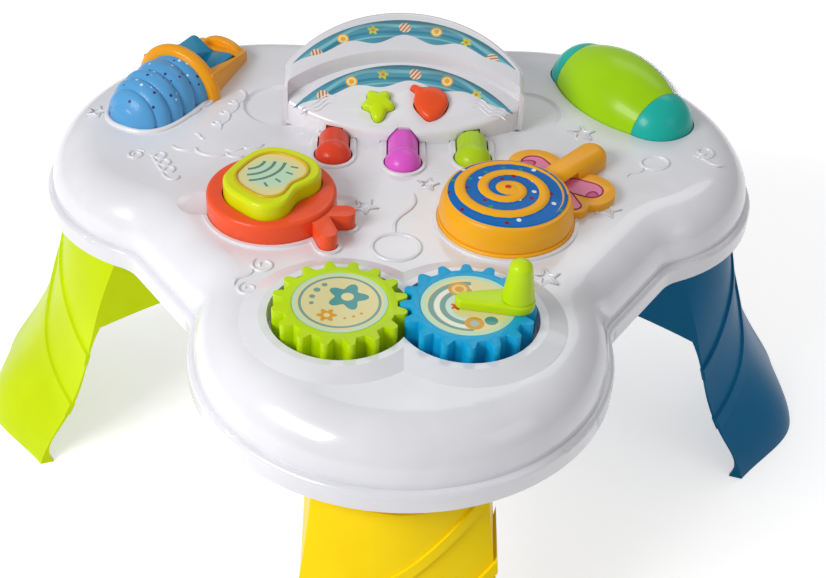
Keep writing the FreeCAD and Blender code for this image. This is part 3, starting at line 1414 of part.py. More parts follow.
node("top_shell", shell.removeSplitter())

# Return pads under the push buttons

pads = []
for side, behind in ((-size("star_side"), star_behind), (size("balloon_side"), balloon_behind)):
    pad_low = -size("button_skirt") - size("button_travel") - size("pad_thickness")
    pad = Part.makeCylinder(pad_outer, size("pad_thickness"), V(0, 0, pad_low))
    pad = pad.cut(Part.makeCylinder(pad_outer - wall / 2, 2 * over, V(0, 0, pad_low - over)))
    pads.append(framed(pad, face_frame(side, behind)))
pad_radius = size("apple_pad_radius")
pad = Part.makeCylinder(pad_radius, size("pad_thickness"), V(apple_centre.x, apple_centre.y, well_floor))
pads.append(pad.cut(Part.makeCylinder(pad_radius - wall, 2 * over,
                                      V(apple_centre.x, apple_centre.y, well_floor - over))))
node("return_pads", Part.makeCompound(pads))

# Bottom pan: leg sockets, battery bay, speaker ring and grille, board posts

pan_wall = size("pan_wall")
pan = prism(inset_face(wall + gap), pan_low, pan_high)
socket_top = leg_top + gap
socket = plug_solid(-gap - pan_wall, pan_low, socket_top + pan_wall, wing_back - plug_back + gap + pan_wall)
socket_core = plug_solid(leg_wall + gap + pan_wall, pan_high, socket_top + pan_wall + over, over)
socket = socket.cut(socket_core)
socket_room = plug_solid(-gap, pan_low - over, socket_top, wing_back - plug_back + gap).cut(
    plug_solid(leg_wall + gap, pan_low - 2 * over, socket_top + over, over))
for leg_name, foot_centre, turn in LEGS:
    pan = pan.fuse(moved(turned(socket, turn), foot_centre))
for leg_name, foot_centre, turn in LEGS:
    pan = pan.cut(moved(turned(socket_room, turn), foot_centre))

cells = 3
cell_pitch = 2 * size("battery_radius") + gap
bay_length = size("battery_length") + 2 * (size("contact_thickness") + 2 * gap)
bay_depth = cells * cell_pitch + gap
bay_centre = at(0, size("battery_behind"))
door_top = pan_low + size("door_wall")
bay_floor = door_top + gap
bay_top = bay_floor + cell_pitch
door_length = bay_length + 2 * size("bay_lap")
door_depth = bay_depth + 2 * size("door_lap")
bay_rim = 2 * (gap + pan_wall)
bay = box(bay_centre, door_length + bay_rim, door_depth + bay_rim, pan_low, bay_top + pan_wall)
pan = pan.fuse(bay)
pan = pan.cut(box(bay_centre, door_length + 2 * gap, door_depth + 2 * gap, pan_low - over, bay_floor))
pan = pan.cut(box(bay_centre, bay_length, bay_depth, bay_floor - over, bay_top))
door_screw_place = V(bay_centre.x + (bay_length + size("bay_lap")) / 2, bay_centre.y, 0)
pan = pan.cut(rod(door_screw_place, size("screw_radius") + size("running_gap"), bay_floor - over,
                  pan_low + size("door_screw_length") + gap))

speaker_centre = at(0, size("speaker_behind"))
speaker_ring = rod(speaker_centre, size("speaker_radius") + gap + pan_wall, pan_low,
                   pan_high + size("speaker_height") / 2)
pan = pan.fuse(speaker_ring).cut(rod(speaker_centre, size("speaker_radius") + gap, pan_high, deck))
# holes on each ring of the grille and the ring's share of the speaker's radius
GRILLE_SHARES = ((6, 0.3), (12, 0.6))
grille = [speaker_centre]
for count, share in GRILLE_SHARES:
    for k in range(count):
        angle = 2 * math.pi * k / count
        away = V(math.cos(angle), math.sin(angle), 0) * (size("speaker_radius") * share)
        grille.append(speaker_centre + away)
for place in grille:
    pan = pan.cut(rod(place, size("grille_hole_radius"), pan_low - over, pan_high + over / 2))
for place in BOSS_PLACES:
    pan = pan.cut(rod(place, size("screw_radius") + gap, pan_low - over, pan_high + over))

board_low = leg_height + size("board_rise")
board_centre = at(0, size("board_behind"))
post_x = size("board_length") / 2 - size("post_radius") - wall
post_y = size("board_depth") / 2 - size("post_radius") - wall
posts = []
for sign_x in (-1, 1):
    for sign_y in (-1, 1):
        place = board_centre + V(sign_x * post_x, sign_y * post_y, 0)
        posts.append(rod(place, size("post_radius"), pan_low, board_low))
        posts.append(rod(place, size("screw_radius"), pan_low,
                         board_low + size("board_thickness") + wall / 2))
pan = pan.fuse(posts)

# power switch slot and housing
switch_centre = at(size("switch_side"), size("switch_behind"))
knob_w = size("switch_width")
slide_run = size("switch_travel")
slot_length = knob_w + slide_run + 2 * gap
house_length = 4 * knob_w + 2 * slide_run
house_wall = pan_wall / 2
pan = pan.cut(box(switch_centre, slot_length, knob_w + 2 * gap, pan_low - over, pan_high + over))
node("bottom_pan", pan.removeSplitter())

slide_start = V(switch_centre.x - slide_run / 2, switch_centre.y, 0)
flange_length = knob_w + 2 * slide_run
flange_low = pan_high + gap
flange_high = flange_low + size("switch_height") / 2
slider = box(slide_start, knob_w, knob_w, leg_height + gap, flange_low + gap).fuse(
    box(slide_start, flange_length, 2 * knob_w, flange_low, flange_high)).removeSplitter()
node("power_switch", slider)
house = box(switch_centre, house_length, 2 * knob_w + 2 * gap + 2 * house_wall, pan_high,
            flange_high + gap + house_wall)
house = house.cut(box(switch_centre, flange_length + slide_run + 2 * gap, 2 * knob_w + 2 * gap,
                      pan_high - over,
                      flange_high + gap))
node("switch_housing", house)

# Screws of the pan and of the battery door


def screw(place, head_low, length):
    head = rod(place, size("screw_head_radius"), head_low, head_low + size("screw_head_height"))
    head = head.cut(box(place, 3 * size("screw_head_radius"), size("screw_radius") / 2, head_low - over,
                        head_low + size("screw_head_height") / 2))
    shank_low = head_low + size("screw_head_height") / 2
    return head.fuse(rod(place, size("screw_radius"), shank_low, head_low + length))


node("pan_screws", Part.makeCompound([screw(place, pan_low - size("screw_head_height"), size("screw_length"))
                                      for place in BOSS_PLACES]))

# Battery bay: cells, contact plates, door and its screw

batteries = []
contacts = []
for k in range(cells):
    cell_y = bay_centre.y + (k - (cells - 1) / 2) * cell_pitch
    facing = 1 if k % 2 == 0 else -1
    centre_z = bay_floor + size("battery_radius")
    nub = size("contact_thickness")
    cell = Part.makeCylinder(size("battery_radius"), size("battery_length") - nub,
                             V(-facing * size("battery_length") / 2, cell_y, centre_z), V(facing, 0, 0))
    cell = cell.fuse(Part.makeCylinder(size("battery_nub_radius"), size("battery_length"),
                                       V(-facing * size("battery_length") / 2, cell_y, centre_z),
                                       V(facing, 0, 0)))
    batteries.append(cell.removeSplitter())
plate_x = size("battery_length") / 2 + gap
plate_w = size("contact_width")
for side, first, last in ((-1, 0, 1), (-1, 2, 2), (1, 0, 0), (1, 1, 2)):
    y0 = bay_centre.y + (first - (cells - 1) / 2) * cell_pitch - plate_w / 2
    y1 = bay_centre.y + (last - (cells - 1) / 2) * cell_pitch + plate_w / 2
    x0 = plate_x if side > 0 else -plate_x - size("contact_thickness")
    contacts.append(Part.makeBox(size("contact_thickness"), y1 - y0, plate_w, V(x0, y0, bay_floor + gap)))
node("batteries", Part.makeCompound(batteries))
node("battery_contacts", Part.makeCompound(contacts))
door = box(bay_centre, door_length, door_depth, pan_low, door_top)
door = door.cut(rod(door_screw_place, size("screw_radius") + gap, pan_low - over, door_top + over))
for k in (-1, 0, 1):
    door = door.cut(box(bay_centre + V(-bay_length / 2 + 2 * k * wall, 0, 0), wall, bay_depth / 2,
                        pan_low - over,
                        pan_low + size("door_wall") / 3))
node("battery_door", door)
node("door_screw", screw(door_screw_place, pan_low - size("screw_head_height"), size("door_screw_length")))

# Speaker and circuit board

basket_high = pan_high + size("speaker_height") / 4
speaker = rod(speaker_centre, size("speaker_radius"), pan_high, basket_high)
magnet_radius = size("magnet_radius")
speaker = speaker.fuse(Part.makeCone(size("speaker_radius") - wall, magnet_radius - wall / 2,
                                     size("speaker_height") / 2,
                                     V(speaker_centre.x, speaker_centre.y, basket_high)))
speaker = speaker.fuse(rod(speaker_centre, magnet_radius, pan_high + size("speaker_height") / 2,
                           pan_high + size("speaker_height")))
node("speaker", speaker.removeSplitter())
board = box(board_centre, size("board_length"), size("board_depth"), board_low,
            board_low + size("board_thickness"))
for sign_x in (-1, 1):
    for sign_y in (-1, 1):
        board = board.cut(rod(board_centre + V(sign_x * post_x, sign_y * post_y, 0),
                              size("screw_radius") + gap / 2,
                              board_low - over, board_low + over))
chip = box(board_centre + V(-post_x / 2, 0, 0), 4 * wall, 3 * wall, board_low + size("board_thickness") - gap,
           board_low + size("board_thickness") + wall / 2)
board = board.fuse(chip)
node("circuit_board", board.removeSplitter())

# Checks on the whole document, then one file per sub-part

doc.recompute()
for thing in doc.Objects:
    if "Invalid" in thing.State or "Error" in thing.State:
        raise RuntimeError("failed object: " + thing.Name)
for part in NODES:
    if part.Shape.isNull() or not part.Shape.isValid():
        raise RuntimeError("bad shape: " + part.Label)
for part in NODES:
    part.Shape.exportStep("parts/%s.step" % part.Label)
print("pieces", len(NODES))
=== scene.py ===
import math

import bmesh
import bpy
from mathutils import Matrix, Vector


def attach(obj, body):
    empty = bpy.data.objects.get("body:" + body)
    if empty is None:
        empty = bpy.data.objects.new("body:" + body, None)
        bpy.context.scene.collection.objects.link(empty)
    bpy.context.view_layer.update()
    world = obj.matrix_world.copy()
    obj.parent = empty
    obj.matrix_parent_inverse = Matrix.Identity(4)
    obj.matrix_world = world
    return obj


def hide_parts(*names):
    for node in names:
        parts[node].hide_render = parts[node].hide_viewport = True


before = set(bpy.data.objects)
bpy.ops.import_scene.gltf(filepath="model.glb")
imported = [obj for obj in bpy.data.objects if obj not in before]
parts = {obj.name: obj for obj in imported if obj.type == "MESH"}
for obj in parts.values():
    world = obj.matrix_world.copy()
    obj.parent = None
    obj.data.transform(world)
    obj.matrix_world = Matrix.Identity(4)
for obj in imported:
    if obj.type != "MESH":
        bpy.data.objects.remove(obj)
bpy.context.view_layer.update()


# The three legs are one hollow plastic moulding in three colours, open at the
# inner side and plugged up into the pan. The colour goes right through and the
# skin is smooth, with faint flow marks and fine rub marks from packing.
class Tone:
    """A socket of a finish that takes part in plain arithmetic."""

    def __init__(self, finish, socket):
        self.finish = finish
        self.socket = socket

    def _math(self, operation, *others):
        values = {str(k): other for k, other in enumerate(others)}
        return self.finish.add("ShaderNodeMath", {"operation": operation}, **values)

    def __add__(self, other):
        return self._math("ADD", self, other)

    __radd__ = __add__

    def __sub__(self, other):
        return self._math("SUBTRACT", self, other)

    def __rsub__(self, other):
        return self._math("SUBTRACT", other, self)

    def __mul__(self, other):
        return self._math("MULTIPLY", self, other)

    __rmul__ = __mul__

    def __truediv__(self, other):
        return self._math("DIVIDE", self, other)

    def __rtruediv__(self, other):
        return self._math("DIVIDE", other, self)

    def __abs__(self):
        return self._math("ABSOLUTE", self)

    def __lt__(self, other):
        return self._math("LESS_THAN", self, other)

    def __gt__(self, other):
        return self._math("GREATER_THAN", self, other)

    def root(self):
        return self._math("SQRT", self)

    def reach(self, other):
        """Length of the diagonal over two distances."""
        return (self * self + other * other).root()

    def heading(self, other):
        return self._math("ARCTAN2", self, other)

    def cosine(self):
        return self._math("COSINE", self)

    def whole(self):
        return self._math("FLOOR", self)

    def at_least(self, other):
        return self._math("MAXIMUM", self, other)

    def ramp(self, low, high):
        """Soft step from 0 at low to 1 at high."""
        return self.finish.add("ShaderNodeMapRange", {"interpolation_type": "SMOOTHSTEP"},
                               Value=self, From_Min=low, From_Max=high)


class Finish:
    """One surface of the table: a material, its shader and whatever colours it."""

    def __init__(self, name, roughness, **constants):
        self.material = bpy.data.materials.new(name)
        self.material.use_nodes = True
        self.tree = self.material.node_tree
        self.shader = self.tree.nodes["Principled BSDF"]
        self.shader.inputs["Roughness"].default_value = roughness
        for key, value in constants.items():
            self.shader.inputs[key.replace("_", " ")].default_value = value

    def add(self, kind, settings=None, out=0, **sockets):
        """Any node: its settings first, then values or links for its sockets."""
        made = self.tree.nodes.new(kind)
        for key, value in (settings or {}).items():
            setattr(made, key, value)
        for key, value in sockets.items():
            target = made.inputs[int(key)] if key.isdigit() else made.inputs[key.replace("_", " ")]
            if isinstance(value, Tone):
                self.tree.links.new(value.socket, target)
            else:
                target.default_value = value
        return Tone(self, made.outputs[out])

    def place(self):
        """Place on the piece, in metres, as three tones and as one."""
        spot = self.add("ShaderNodeTexCoord", out="Object")
        cut = self.add("ShaderNodeSeparateXYZ", Vector=spot)
        return [Tone(self, output) for output in cut.socket.node.outputs] + [spot]

    def speckle(self, spot, scale, detail=2.0):
        return self.add("ShaderNodeTexNoise", Vector=spot, Scale=scale, Detail=detail)

    def blend(self, share, first, second):
        """Mixes two colours, each a tone or red, green, blue."""
        values = {"0": share, "6": first, "7": second}
        for key in ("6", "7"):
            if not isinstance(values[key], Tone):
                values[key] = (*values[key], 1.0)
        return self.add("ShaderNodeMix", {"data_type": "RGBA"}, out=2, **values)

    def feed(self, **channels):
        for key, value in channels.items():
            target = self.shader.inputs[key.replace("_", " ")]
            self.tree.links.new(value.socket, target)


def paint(red, green, blue):
    """Colour as seen, 0 to 255, as the light it gives back."""
    def linear(c):
        c = c / 255.0
        return c / 12.92 if c <= 0.04045 else ((c + 0.055) / 1.055) ** 2.4
    return tuple(linear(c) for c in (red, green, blue))


def moulded(name, colour, roughness=0.26, ripple=0.06, coat=0.12, extra=None, sheen=0.2):
    """Glossy moulded plastic with slight flow marks, a skin that ripples a little and rub marks."""
    finish = Finish(name, roughness, Coat_Weight=coat, Coat_Roughness=0.06,
                    Specular_IOR_Level=sheen)
    x, y, z, spot = finish.place()
    flow = finish.speckle(spot, 14.0, 3.0)
    skin = finish.speckle(spot, 420.0, 2.0)
    dark = tuple(c * 0.93 for c in colour)
    bright = tuple(min(1.0, c * 1.05 + 0.004) for c in colour)
    shade = finish.blend(flow.ramp(0.3, 0.7), dark, bright)
    if extra:
        shade = extra(finish, shade, x, y, z, spot)
    stretched = finish.add("ShaderNodeMapping", Vector=spot, Rotation=(0.3, 0.5, 0.9),
                           Scale=(1.0, 14.0, 14.0))
    rubbed = finish.speckle(stretched, 60.0, 4.0).ramp(0.62, 0.78)
    bump = finish.add("ShaderNodeBump", Height=skin, Strength=ripple, Distance=0.0006)
    finish.feed(Base_Color=shade, Roughness=roughness + skin * 0.06 + rubbed * 0.12, Normal=bump)
    return finish.material


def dress(node_name, material):
    """Gives a part its finish in every one of its places."""
    mesh = parts[node_name].data
    for k in range(len(mesh.materials)):
        mesh.materials[k] = material
    if not len(mesh.materials):
        mesh.materials.append(material)


for name, plastic, colour in (("leg_front", "yellow_leg_plastic", (255, 216, 0)),
                              ("leg_left", "lime_leg_plastic", (204, 226, 0)),
                              ("leg_right", "blue_leg_plastic", (0, 104, 150))):
    dress(name, moulded(plastic, paint(*colour), roughness=0.32, coat=0.0, sheen=0.12))


# The pan closes the table from below. It is the same white plastic as the top
# with a duller, finely grained face, held by screws and carrying the battery
# bay with its door, the speaker behind its grille, the board and the switch.
pan_white = moulded("grained_white_plastic", paint(226, 226, 230), roughness=0.42, ripple=0.22,
                    coat=0.0)
for name in ("bottom_pan", "battery_door", "switch_housing"):
    dress(name, pan_white)


def machined(name, colour, roughness):
    """Bright zinc plated steel: turning marks and slight clouding."""
    finish = Finish(name, roughness, Metallic=1.0)
    spot = finish.place()[-1]
    cloud = finish.speckle(spot, 160.0, 3.0)
    rings = finish.speckle(finish.add("ShaderNodeMapping", Vector=spot, Scale=(1.0, 1.0, 12.0)), 700.0)
    bump = finish.add("ShaderNodeBump", Height=rings, Strength=0.12, Distance=0.0003)
    shade = finish.blend(cloud, tuple(c * 0.85 for c in colour), colour)
    finish.feed(Base_Color=shade, Roughness=roughness + cloud * 0.15, Normal=bump)
    return finish.material


zinc = machined("zinc_plated_steel", (0.66, 0.67, 0.69), 0.26)
for name in ("pan_screws", "door_screw", "roller_axle", "rocker_pin", "key_shaft"):
    dress(name, zinc)
dress("battery_contacts", machined("contact_spring_steel", (0.60, 0.60, 0.58), 0.34))
dress("return_pads", moulded("grey_foam_rubber", paint(120, 120, 124), roughness=0.75, ripple=0.5,
                             coat=0.0))
dress("power_switch", moulded("orange_switch_plastic", paint(240, 90, 40)))


def cell_skin(finish, shade, x, y, z, spot):
    """Sleeve of a plain cell: a dark barrel with a copper coloured band at one end."""
    return finish.blend(x > 0.012, shade, paint(190, 120, 60))


dress("batteries", moulded("cell_sleeve", paint(46, 48, 54), roughness=0.3, extra=cell_skin))
dress("speaker", moulded("black_speaker_paper", paint(30, 30, 32), roughness=0.8, ripple=0.6,
                         coat=0.0))
dress("circuit_board", moulded("green_board", paint(28, 96, 62), roughness=0.45, coat=0.1))


# The top is one white three-lobed shell, deep gloss, with a lip all round and
# raised line ornaments on its flat deck, all in the same plastic.
shell_white = moulded("gloss_white_plastic", paint(230, 230, 235), roughness=0.2, ripple=0.035, coat=0.5,
                      sheen=0.5)
dress("top_shell", shell_white)
deck_level = 0.192


def put_down(name, form, body, replaced=None):
    """Makes a piece from its form and hands it to the body that carries it."""
    piece = bpy.data.objects.new(name, form)
    bpy.context.scene.collection.objects.link(piece)
    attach(piece, body)
    if replaced:
        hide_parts(replaced)
    return piece


def raised_lines(name, body, material, strokes, width):
    """Half-round lines that stand proud of a face. A stroke is its places, whether
    it closes on itself and whether its corners are sharp."""
    curve = bpy.data.curves.new(name, "CURVE")
    curve.dimensions = "3D"
    curve.resolution_u = 6
    curve.bevel_depth = width
    curve.bevel_resolution = 2
    curve.use_fill_caps = True
    for run, closed, sharp in strokes:
        spline = curve.splines.new("POLY" if sharp else "NURBS")
        spline.points.add(len(run) - 1)
        for k, spot in enumerate(run):
            spline.points[k].co = (*spot, 1.0)
            at_end = not closed and k in (0, len(run) - 1)
            spline.points[k].radius = 0.45 if at_end else 1.0
        if not sharp:
            spline.order_u = 3
            spline.use_endpoint_u = not closed
        spline.use_cyclic_u = closed
        spline.use_smooth = True
    curve.materials.append(material)
    put_down(name, curve, body)


def rounded(node_name, body, width, material):
    """Stands for a part: its own form with the sharp edges rounded as a mould leaves them."""
    same_place = 2e-6
    flat_enough, sharp_enough = math.radians(1.0), math.radians(38.0)
    form = bmesh.new()
    form.from_mesh(parts[node_name].data)
    bmesh.ops.remove_doubles(form, verts=form.verts, dist=same_place)
    bmesh.ops.dissolve_limit(form, angle_limit=flat_enough, verts=form.verts, edges=form.edges)
    mesh = bpy.data.meshes.new(node_name + "_rounded")
    form.to_mesh(mesh)
    form.free()
    mesh.shade_smooth()
    mesh.materials.clear()
    mesh.materials.append(material)
    piece = put_down(node_name + "_rounded", mesh, body, replaced=node_name)
    bevel = piece.modifiers.new("round", "BEVEL")
    bevel.width = width
    bevel.segments = 3
    bevel.limit_method = "ANGLE"
    bevel.angle_limit = sharp_enough
    bevel.harden_normals = True
    bevel.miter_outer = "MITER_ARC"


def top_edges(node_name, inset):
    """The closed outlines of a flat piece's upper face, drawn in by an inset."""
    level_enough, fewest_corners = 0.7, 9
    mesh = parts[node_name].data
    uses, ends = {}, {}
    spots = [tuple(round(c, 6) for c in vertex.co) for vertex in mesh.vertices]
    for face in mesh.polygons:
        if face.normal.z < level_enough:
            continue
        corners = [spots[k] for k in face.vertices]
        for a, b in zip(corners, corners[1:] + corners[:1]):
            if a != b:
                uses[(a, b)] = uses.get((a, b), 0) + 1
    for a, b in uses:
        if (b, a) not in uses:
            ends[a] = b
    loops = []
    while ends:
        start = next(iter(ends))
        run = [start]
        while run[-1] in ends:
            onward = ends.pop(run[-1])
            if onward == start:
                break
            run.append(onward)
        if len(run) >= fewest_corners:
            loops.append(run)
    result = []
    for run in loops:
        moved = []
        for before, here, after in zip(run[-1:] + run[:-1], run, run[1:] + run[:1]):
            dx, dy = after[0] - before[0], after[1] - before[1]
            long = math.hypot(dx, dy) or 1.0
            moved.append((here[0] - dy / long * inset, here[1] + dx / long * inset, here[2]))
        result.append((moved, True, True))
    return result


def on_deck(run):
    """Millimetres on the deck as places in metres."""
    return [(x / 1000, y / 1000, deck_level) for x, y in run]


def star(x, y, size, turn):
    """Outline of a five-pointed star."""
    notch_share = 0.42
    run = []
    for k in range(10):
        out = size if k % 2 == 0 else size * notch_share
        angle = math.radians(turn + 36 * k)
        run.append((x + out * math.sin(angle), y + out * math.cos(angle)))
    return on_deck(run), True, True


def ring(x, y, across, along, turn=0.0):
    """Oval line."""
    run = []
    for k in range(20):
        angle = math.tau * k / 20
        u, v = across * math.cos(angle), along * math.sin(angle)
        lean = math.radians(turn)
        run.append((x + u * math.cos(lean) - v * math.sin(lean),
                    y + u * math.sin(lean) + v * math.cos(lean)))
    return on_deck(run), True, False


def ripple_line(x0, y0, x1, y1, height, count):
    """Wavy line between two places."""
    run = []
    long = math.hypot(x1 - x0, y1 - y0)
    for k in range(8 * count + 1):
        share = k / (8 * count)
        off = height * math.sin(math.tau * count * share)
        run.append((x0 + (x1 - x0) * share - (y1 - y0) * off / long,
                    y0 + (y1 - y0) * share + (x1 - x0) * off / long))
    return on_deck(run), False, False


def coil_line(x0, y0, x1, y1, radius, loops):
    """Ribbon thrown in loops, as on a parcel."""
    run = []
    long = math.hypot(x1 - x0, y1 - y0)
    ux, uy = (x1 - x0) / long, (y1 - y0) / long
    for k in range(12 * loops + 7):
        angle = math.tau * k / 12
        along = long * k / (12 * loops + 6) + radius * math.sin(angle)
        off = -0.8 * radius * math.cos(angle)
        run.append((x0 + ux * along - uy * off, y0 + uy * along + ux * off))
    return on_deck(run), False, False


def curl_line(x, y, radius, turns, start):
    """Line that winds in on itself."""
    run = []
    count = int(10 * turns)
    for k in range(count + 1):
        angle = math.radians(start) + math.tau * turns * k / count
        out = radius * (1 - 0.72 * k / count)
        run.append((x + out * math.cos(angle), y + out * math.sin(angle)))
    return on_deck(run), False, False


def scallops(x, y, radii, turn):
    """Row of shallow arcs, like the edge of a cloud."""
    run = []
    lean = math.radians(turn)
    start = 0.0
    for radius in radii:
        for k in range(7):
            angle = math.pi * (1 - k / 6)
            u = start + radius * (1 + math.cos(angle))
            v = 0.55 * radius * math.sin(angle)
            run.append((x + u * math.cos(lean) + v * math.sin(lean),
                        y + u * math.sin(lean) - v * math.cos(lean)))
        start += 2 * radius
    return on_deck(run), False, False


raised_lines("deck_relief", "table_body", shell_white, [
    ring(-4, -18, 14.0, 13.0),
    ripple_line(-4.5, -4.5, 6.5, 37, 3.2, 1),
    star(15, 47.5, 6.5, 12),
    star(80, -43.5, 8.0, -8),
    star(121, 25.5, 8.5, 20),
    star(114.5, 110.5, 8.5, 0),
    star(-22.5, 22, 7.5, 30),
    star(-196, 121, 6.5, 16),
    ring(157, 78, 9.0, 7.5, 20),
    ripple_line(149, 72, 137, 61, 1.6, 1),
    curl_line(190, 92, 8.0, 1.3, 200),
    ripple_line(182, 84, 200, 78, 2.2, 1),
    curl_line(-164, 72, 6.0, 1.5, 40),
    coil_line(-152, 75, -139, 48, 5.2, 3),
    coil_line(-119.5, 104, -105, 150, 5.0, 3),
    scallops(-143, 84, (7.5, 10.0, 5.5), -13),
    scallops(-110, 81, (5.5, 6.5), 17),
    ripple_line(-131, 98, -124, 92, 0.8, 1),
    curl_line(-78, -38, 7.5, 1.25, 130),
    ripple_line(-84, -41, -93, -57, 2.0, 1),
    curl_line(-85, -60, 6.5, 1.2, 110),
], width=0.0011)


# Three piano keys hang on one shaft in front of the station. Each is a plain
# coloured moulding with a round bulb and a narrower tail.
dress("key_left", moulded("red_key_plastic", paint(226, 68, 38)))
dress("key_middle", moulded("magenta_key_plastic", paint(226, 92, 208)))
dress("key_right", moulded("lime_key_plastic", paint(178, 214, 20)))


# The music station is the white housing at the back with two sloping faces,
# each with a printed band, and two push buttons in the lower face.
rounded("music_station", "table_body", 0.0014, shell_white)
face_start = 91.95
upper_face, lower_face = (212.5, 0.33), (200.0, 0.4)


def on_slope(face, x, y, lift=0.0):
    """Millimetres over one of the sloping faces as a place in metres."""
    level, slope = face
    return Vector((x / 1000, y / 1000, (level + slope * (y - face_start) + lift) / 1000))


def skin(name, rows, closed, body, material, replaced=None, slot=None):
    """Smooth closed form through rows of places, its two end rows filled."""
    form = bmesh.new()
    rings = [[form.verts.new(spot) for spot in row] for row in rows]
    for low, high in zip(rings, rings[1:]):
        count = len(low)
        for n in range(count if closed else count - 1):
            form.faces.new((low[n], low[(n + 1) % count], high[(n + 1) % count], high[n]))
        if not closed:
            form.faces.new((low[-1], low[0], high[0], high[-1]))
    form.faces.new(rings[0][::-1])
    form.faces.new(rings[-1])
    bmesh.ops.recalc_face_normals(form, faces=form.faces)
    mesh = bpy.data.meshes.new(name)
    form.to_mesh(mesh)
    form.free()
    mesh.shade_smooth()
    mesh.materials.append(material)
    put_down(name, mesh, body, replaced)


def band_print(name, reach_mm, centre_mm, first_shift):
    """Teal print along an arch: pale and deep streaks and a row of small candies in turn."""
    candy_step, candy_depth, candy_reach = 22.5, 6.4, 4.1
    pale, deep = paint(126, 190, 200), paint(62, 134, 158)

    def draw(finish, shade, x, y, z, spot):
        across, back = x * 1000, y * 1000 - centre_mm
        turn = across.heading(back)
        depth = reach_mm - across.reach(back)
        for swing, level, width, tint in ((9.0, 3.4, 1.4, pale), (6.0, 8.6, 1.1, deep),
                                          (5.0, 12.0, 0.8, pale)):
            off = abs(depth - level - 1.5 * (turn * swing).cosine())
            shade = finish.blend(1 - off.ramp(width * 0.75, width), shade, tint)
        cell = turn / (candy_step / reach_mm) + first_shift
        number = cell.whole()
        u = (cell - number - 0.5) * candy_step
        v = depth - candy_depth
        out = u.reach(v)
        kind = number - (number / 3).whole() * 3
        stripes = ((u + v * 0.7) * 2.2).cosine() > 0
        rings = abs(out - 2.5) < 0.6
        petals = (v.heading(u) * 5).cosine()
        sweet = out < candy_reach
        blossom = out < (3.1 + petals * 0.9)
        colours = [
            (kind < 0.5, sweet, stripes, paint(236, 222, 176), paint(196, 120, 120)),
            ((kind > 0.5) * (kind < 1.5), sweet, rings, paint(238, 176, 60), paint(250, 232, 170)),
            (kind > 1.5, blossom, out < 1.2, paint(196, 206, 70), paint(232, 120, 90)),
        ]
        for which, shape, inner, body, mark in colours:
            shade = finish.blend(which * shape, shade, finish.blend(inner, body, mark))
        return shade
    return moulded(name, paint(84, 156, 178), roughness=0.3, ripple=0.02, extra=draw)


def band(node_name, reach_mm, centre_mm, half_mm, width_mm, wave, crest_mm, face, material):
    """Stands for a printed band: a thin strip under an arch, its front edge in waves and
    its ends pointed."""
    wave_long, tip_wide, sunk, proud = 36.5, 0.3, -0.3, 0.2
    rows = []
    for k in range(97):
        share = k / 48 - 1
        x = half_mm * share
        y = centre_mm + math.sqrt(reach_mm * reach_mm - x * x)
        full = width_mm * (1 - wave * math.cos(math.tau * (x - crest_mm) / wave_long))
        deep = tip_wide + full * (1 - abs(share) ** 3.2)
        edge = ((y, sunk), (y, proud), (y - deep / 2, proud), (y - deep, proud), (y - deep, sunk))
        rows.append([on_slope(face, x, back, lift) for back, lift in edge])
    skin(node_name + "_strip", rows, False, "table_body", material, replaced=node_name)


band("upper_band", 84.3, 85.3, 70.5, 14.7, 0.2, 0.0, upper_face,
     band_print("upper_band_print", 84.3, 85.3, 0.5))
band("lower_band", 87.5, 54.9, 69.0, 13.2, 0.17, 4.5, lower_face,
     band_print("lower_band_print", 87.5, 54.9, 0.15))

wave_outer, wave_inward, wave_first, wave_apart, wave_climb = 64.5, 22.0, 103.6, 3.1, 10.0
face_waves = []
for side in (-1, 1):
    for k in range(3):
        run = []
        for n in range(17):
            share = n / 16
            x = side * (wave_outer - wave_inward * share)
            swing = 1.5 * math.sin(math.tau * 1.6 * share + 0.5 * k)
            run.append(on_slope(lower_face, x, wave_first + wave_apart * k + wave_climb * share + swing))
        face_waves.append((run, False, False))
raised_lines("station_wave_relief", "table_body", shell_white, face_waves, width=0.0006)


face_lean = math.atan(lower_face[1])
face_up = Vector((0.0, -math.sin(face_lean), math.cos(face_lean)))
face_back = Vector((0.0, math.cos(face_lean), math.sin(face_lean)))


def star_outline():
    """Five soft lobes, the one towards the keys drawn out."""
    across, drawn_out = 21.0, 3.85
    run = []
    for k in range(60):
        angle = math.tau * k / 60
        out = across * (0.43 + 0.075 * math.cos(5 * angle)) + drawn_out * max(0.0, math.cos(angle)) ** 6
        run.append((out * math.sin(angle), -out * math.cos(angle)))
    return run


def balloon_outline():
    """Round balloon with a small knot, smoothed through a few chosen places."""
    half_wide = 11.5
    shares = ((0.0, -1.25), (0.62, -0.85), (0.98, 0.0), (0.72, 0.68), (0.1, 0.98), (-0.55, 0.95),
              (-0.95, 1.12), (-1.12, 0.90), (-0.86, 0.62), (-0.92, -0.05), (-0.55, -0.85))
    run = []
    count = len(shares)
    for k in range(count):
        a, b, c, d = (shares[(k + step) % count] for step in (-1, 0, 1, 2))
        for n in range(6):
            t = n / 6
            run.append(tuple(half_wide / 2 * (2 * b[i] + (c[i] - a[i]) * t
                                              + (2 * a[i] - 5 * b[i] + 4 * c[i] - d[i]) * t * t
                                              + (3 * b[i] - a[i] - 3 * c[i] + d[i]) * t ** 3)
                             for i in (0, 1)))
    return run


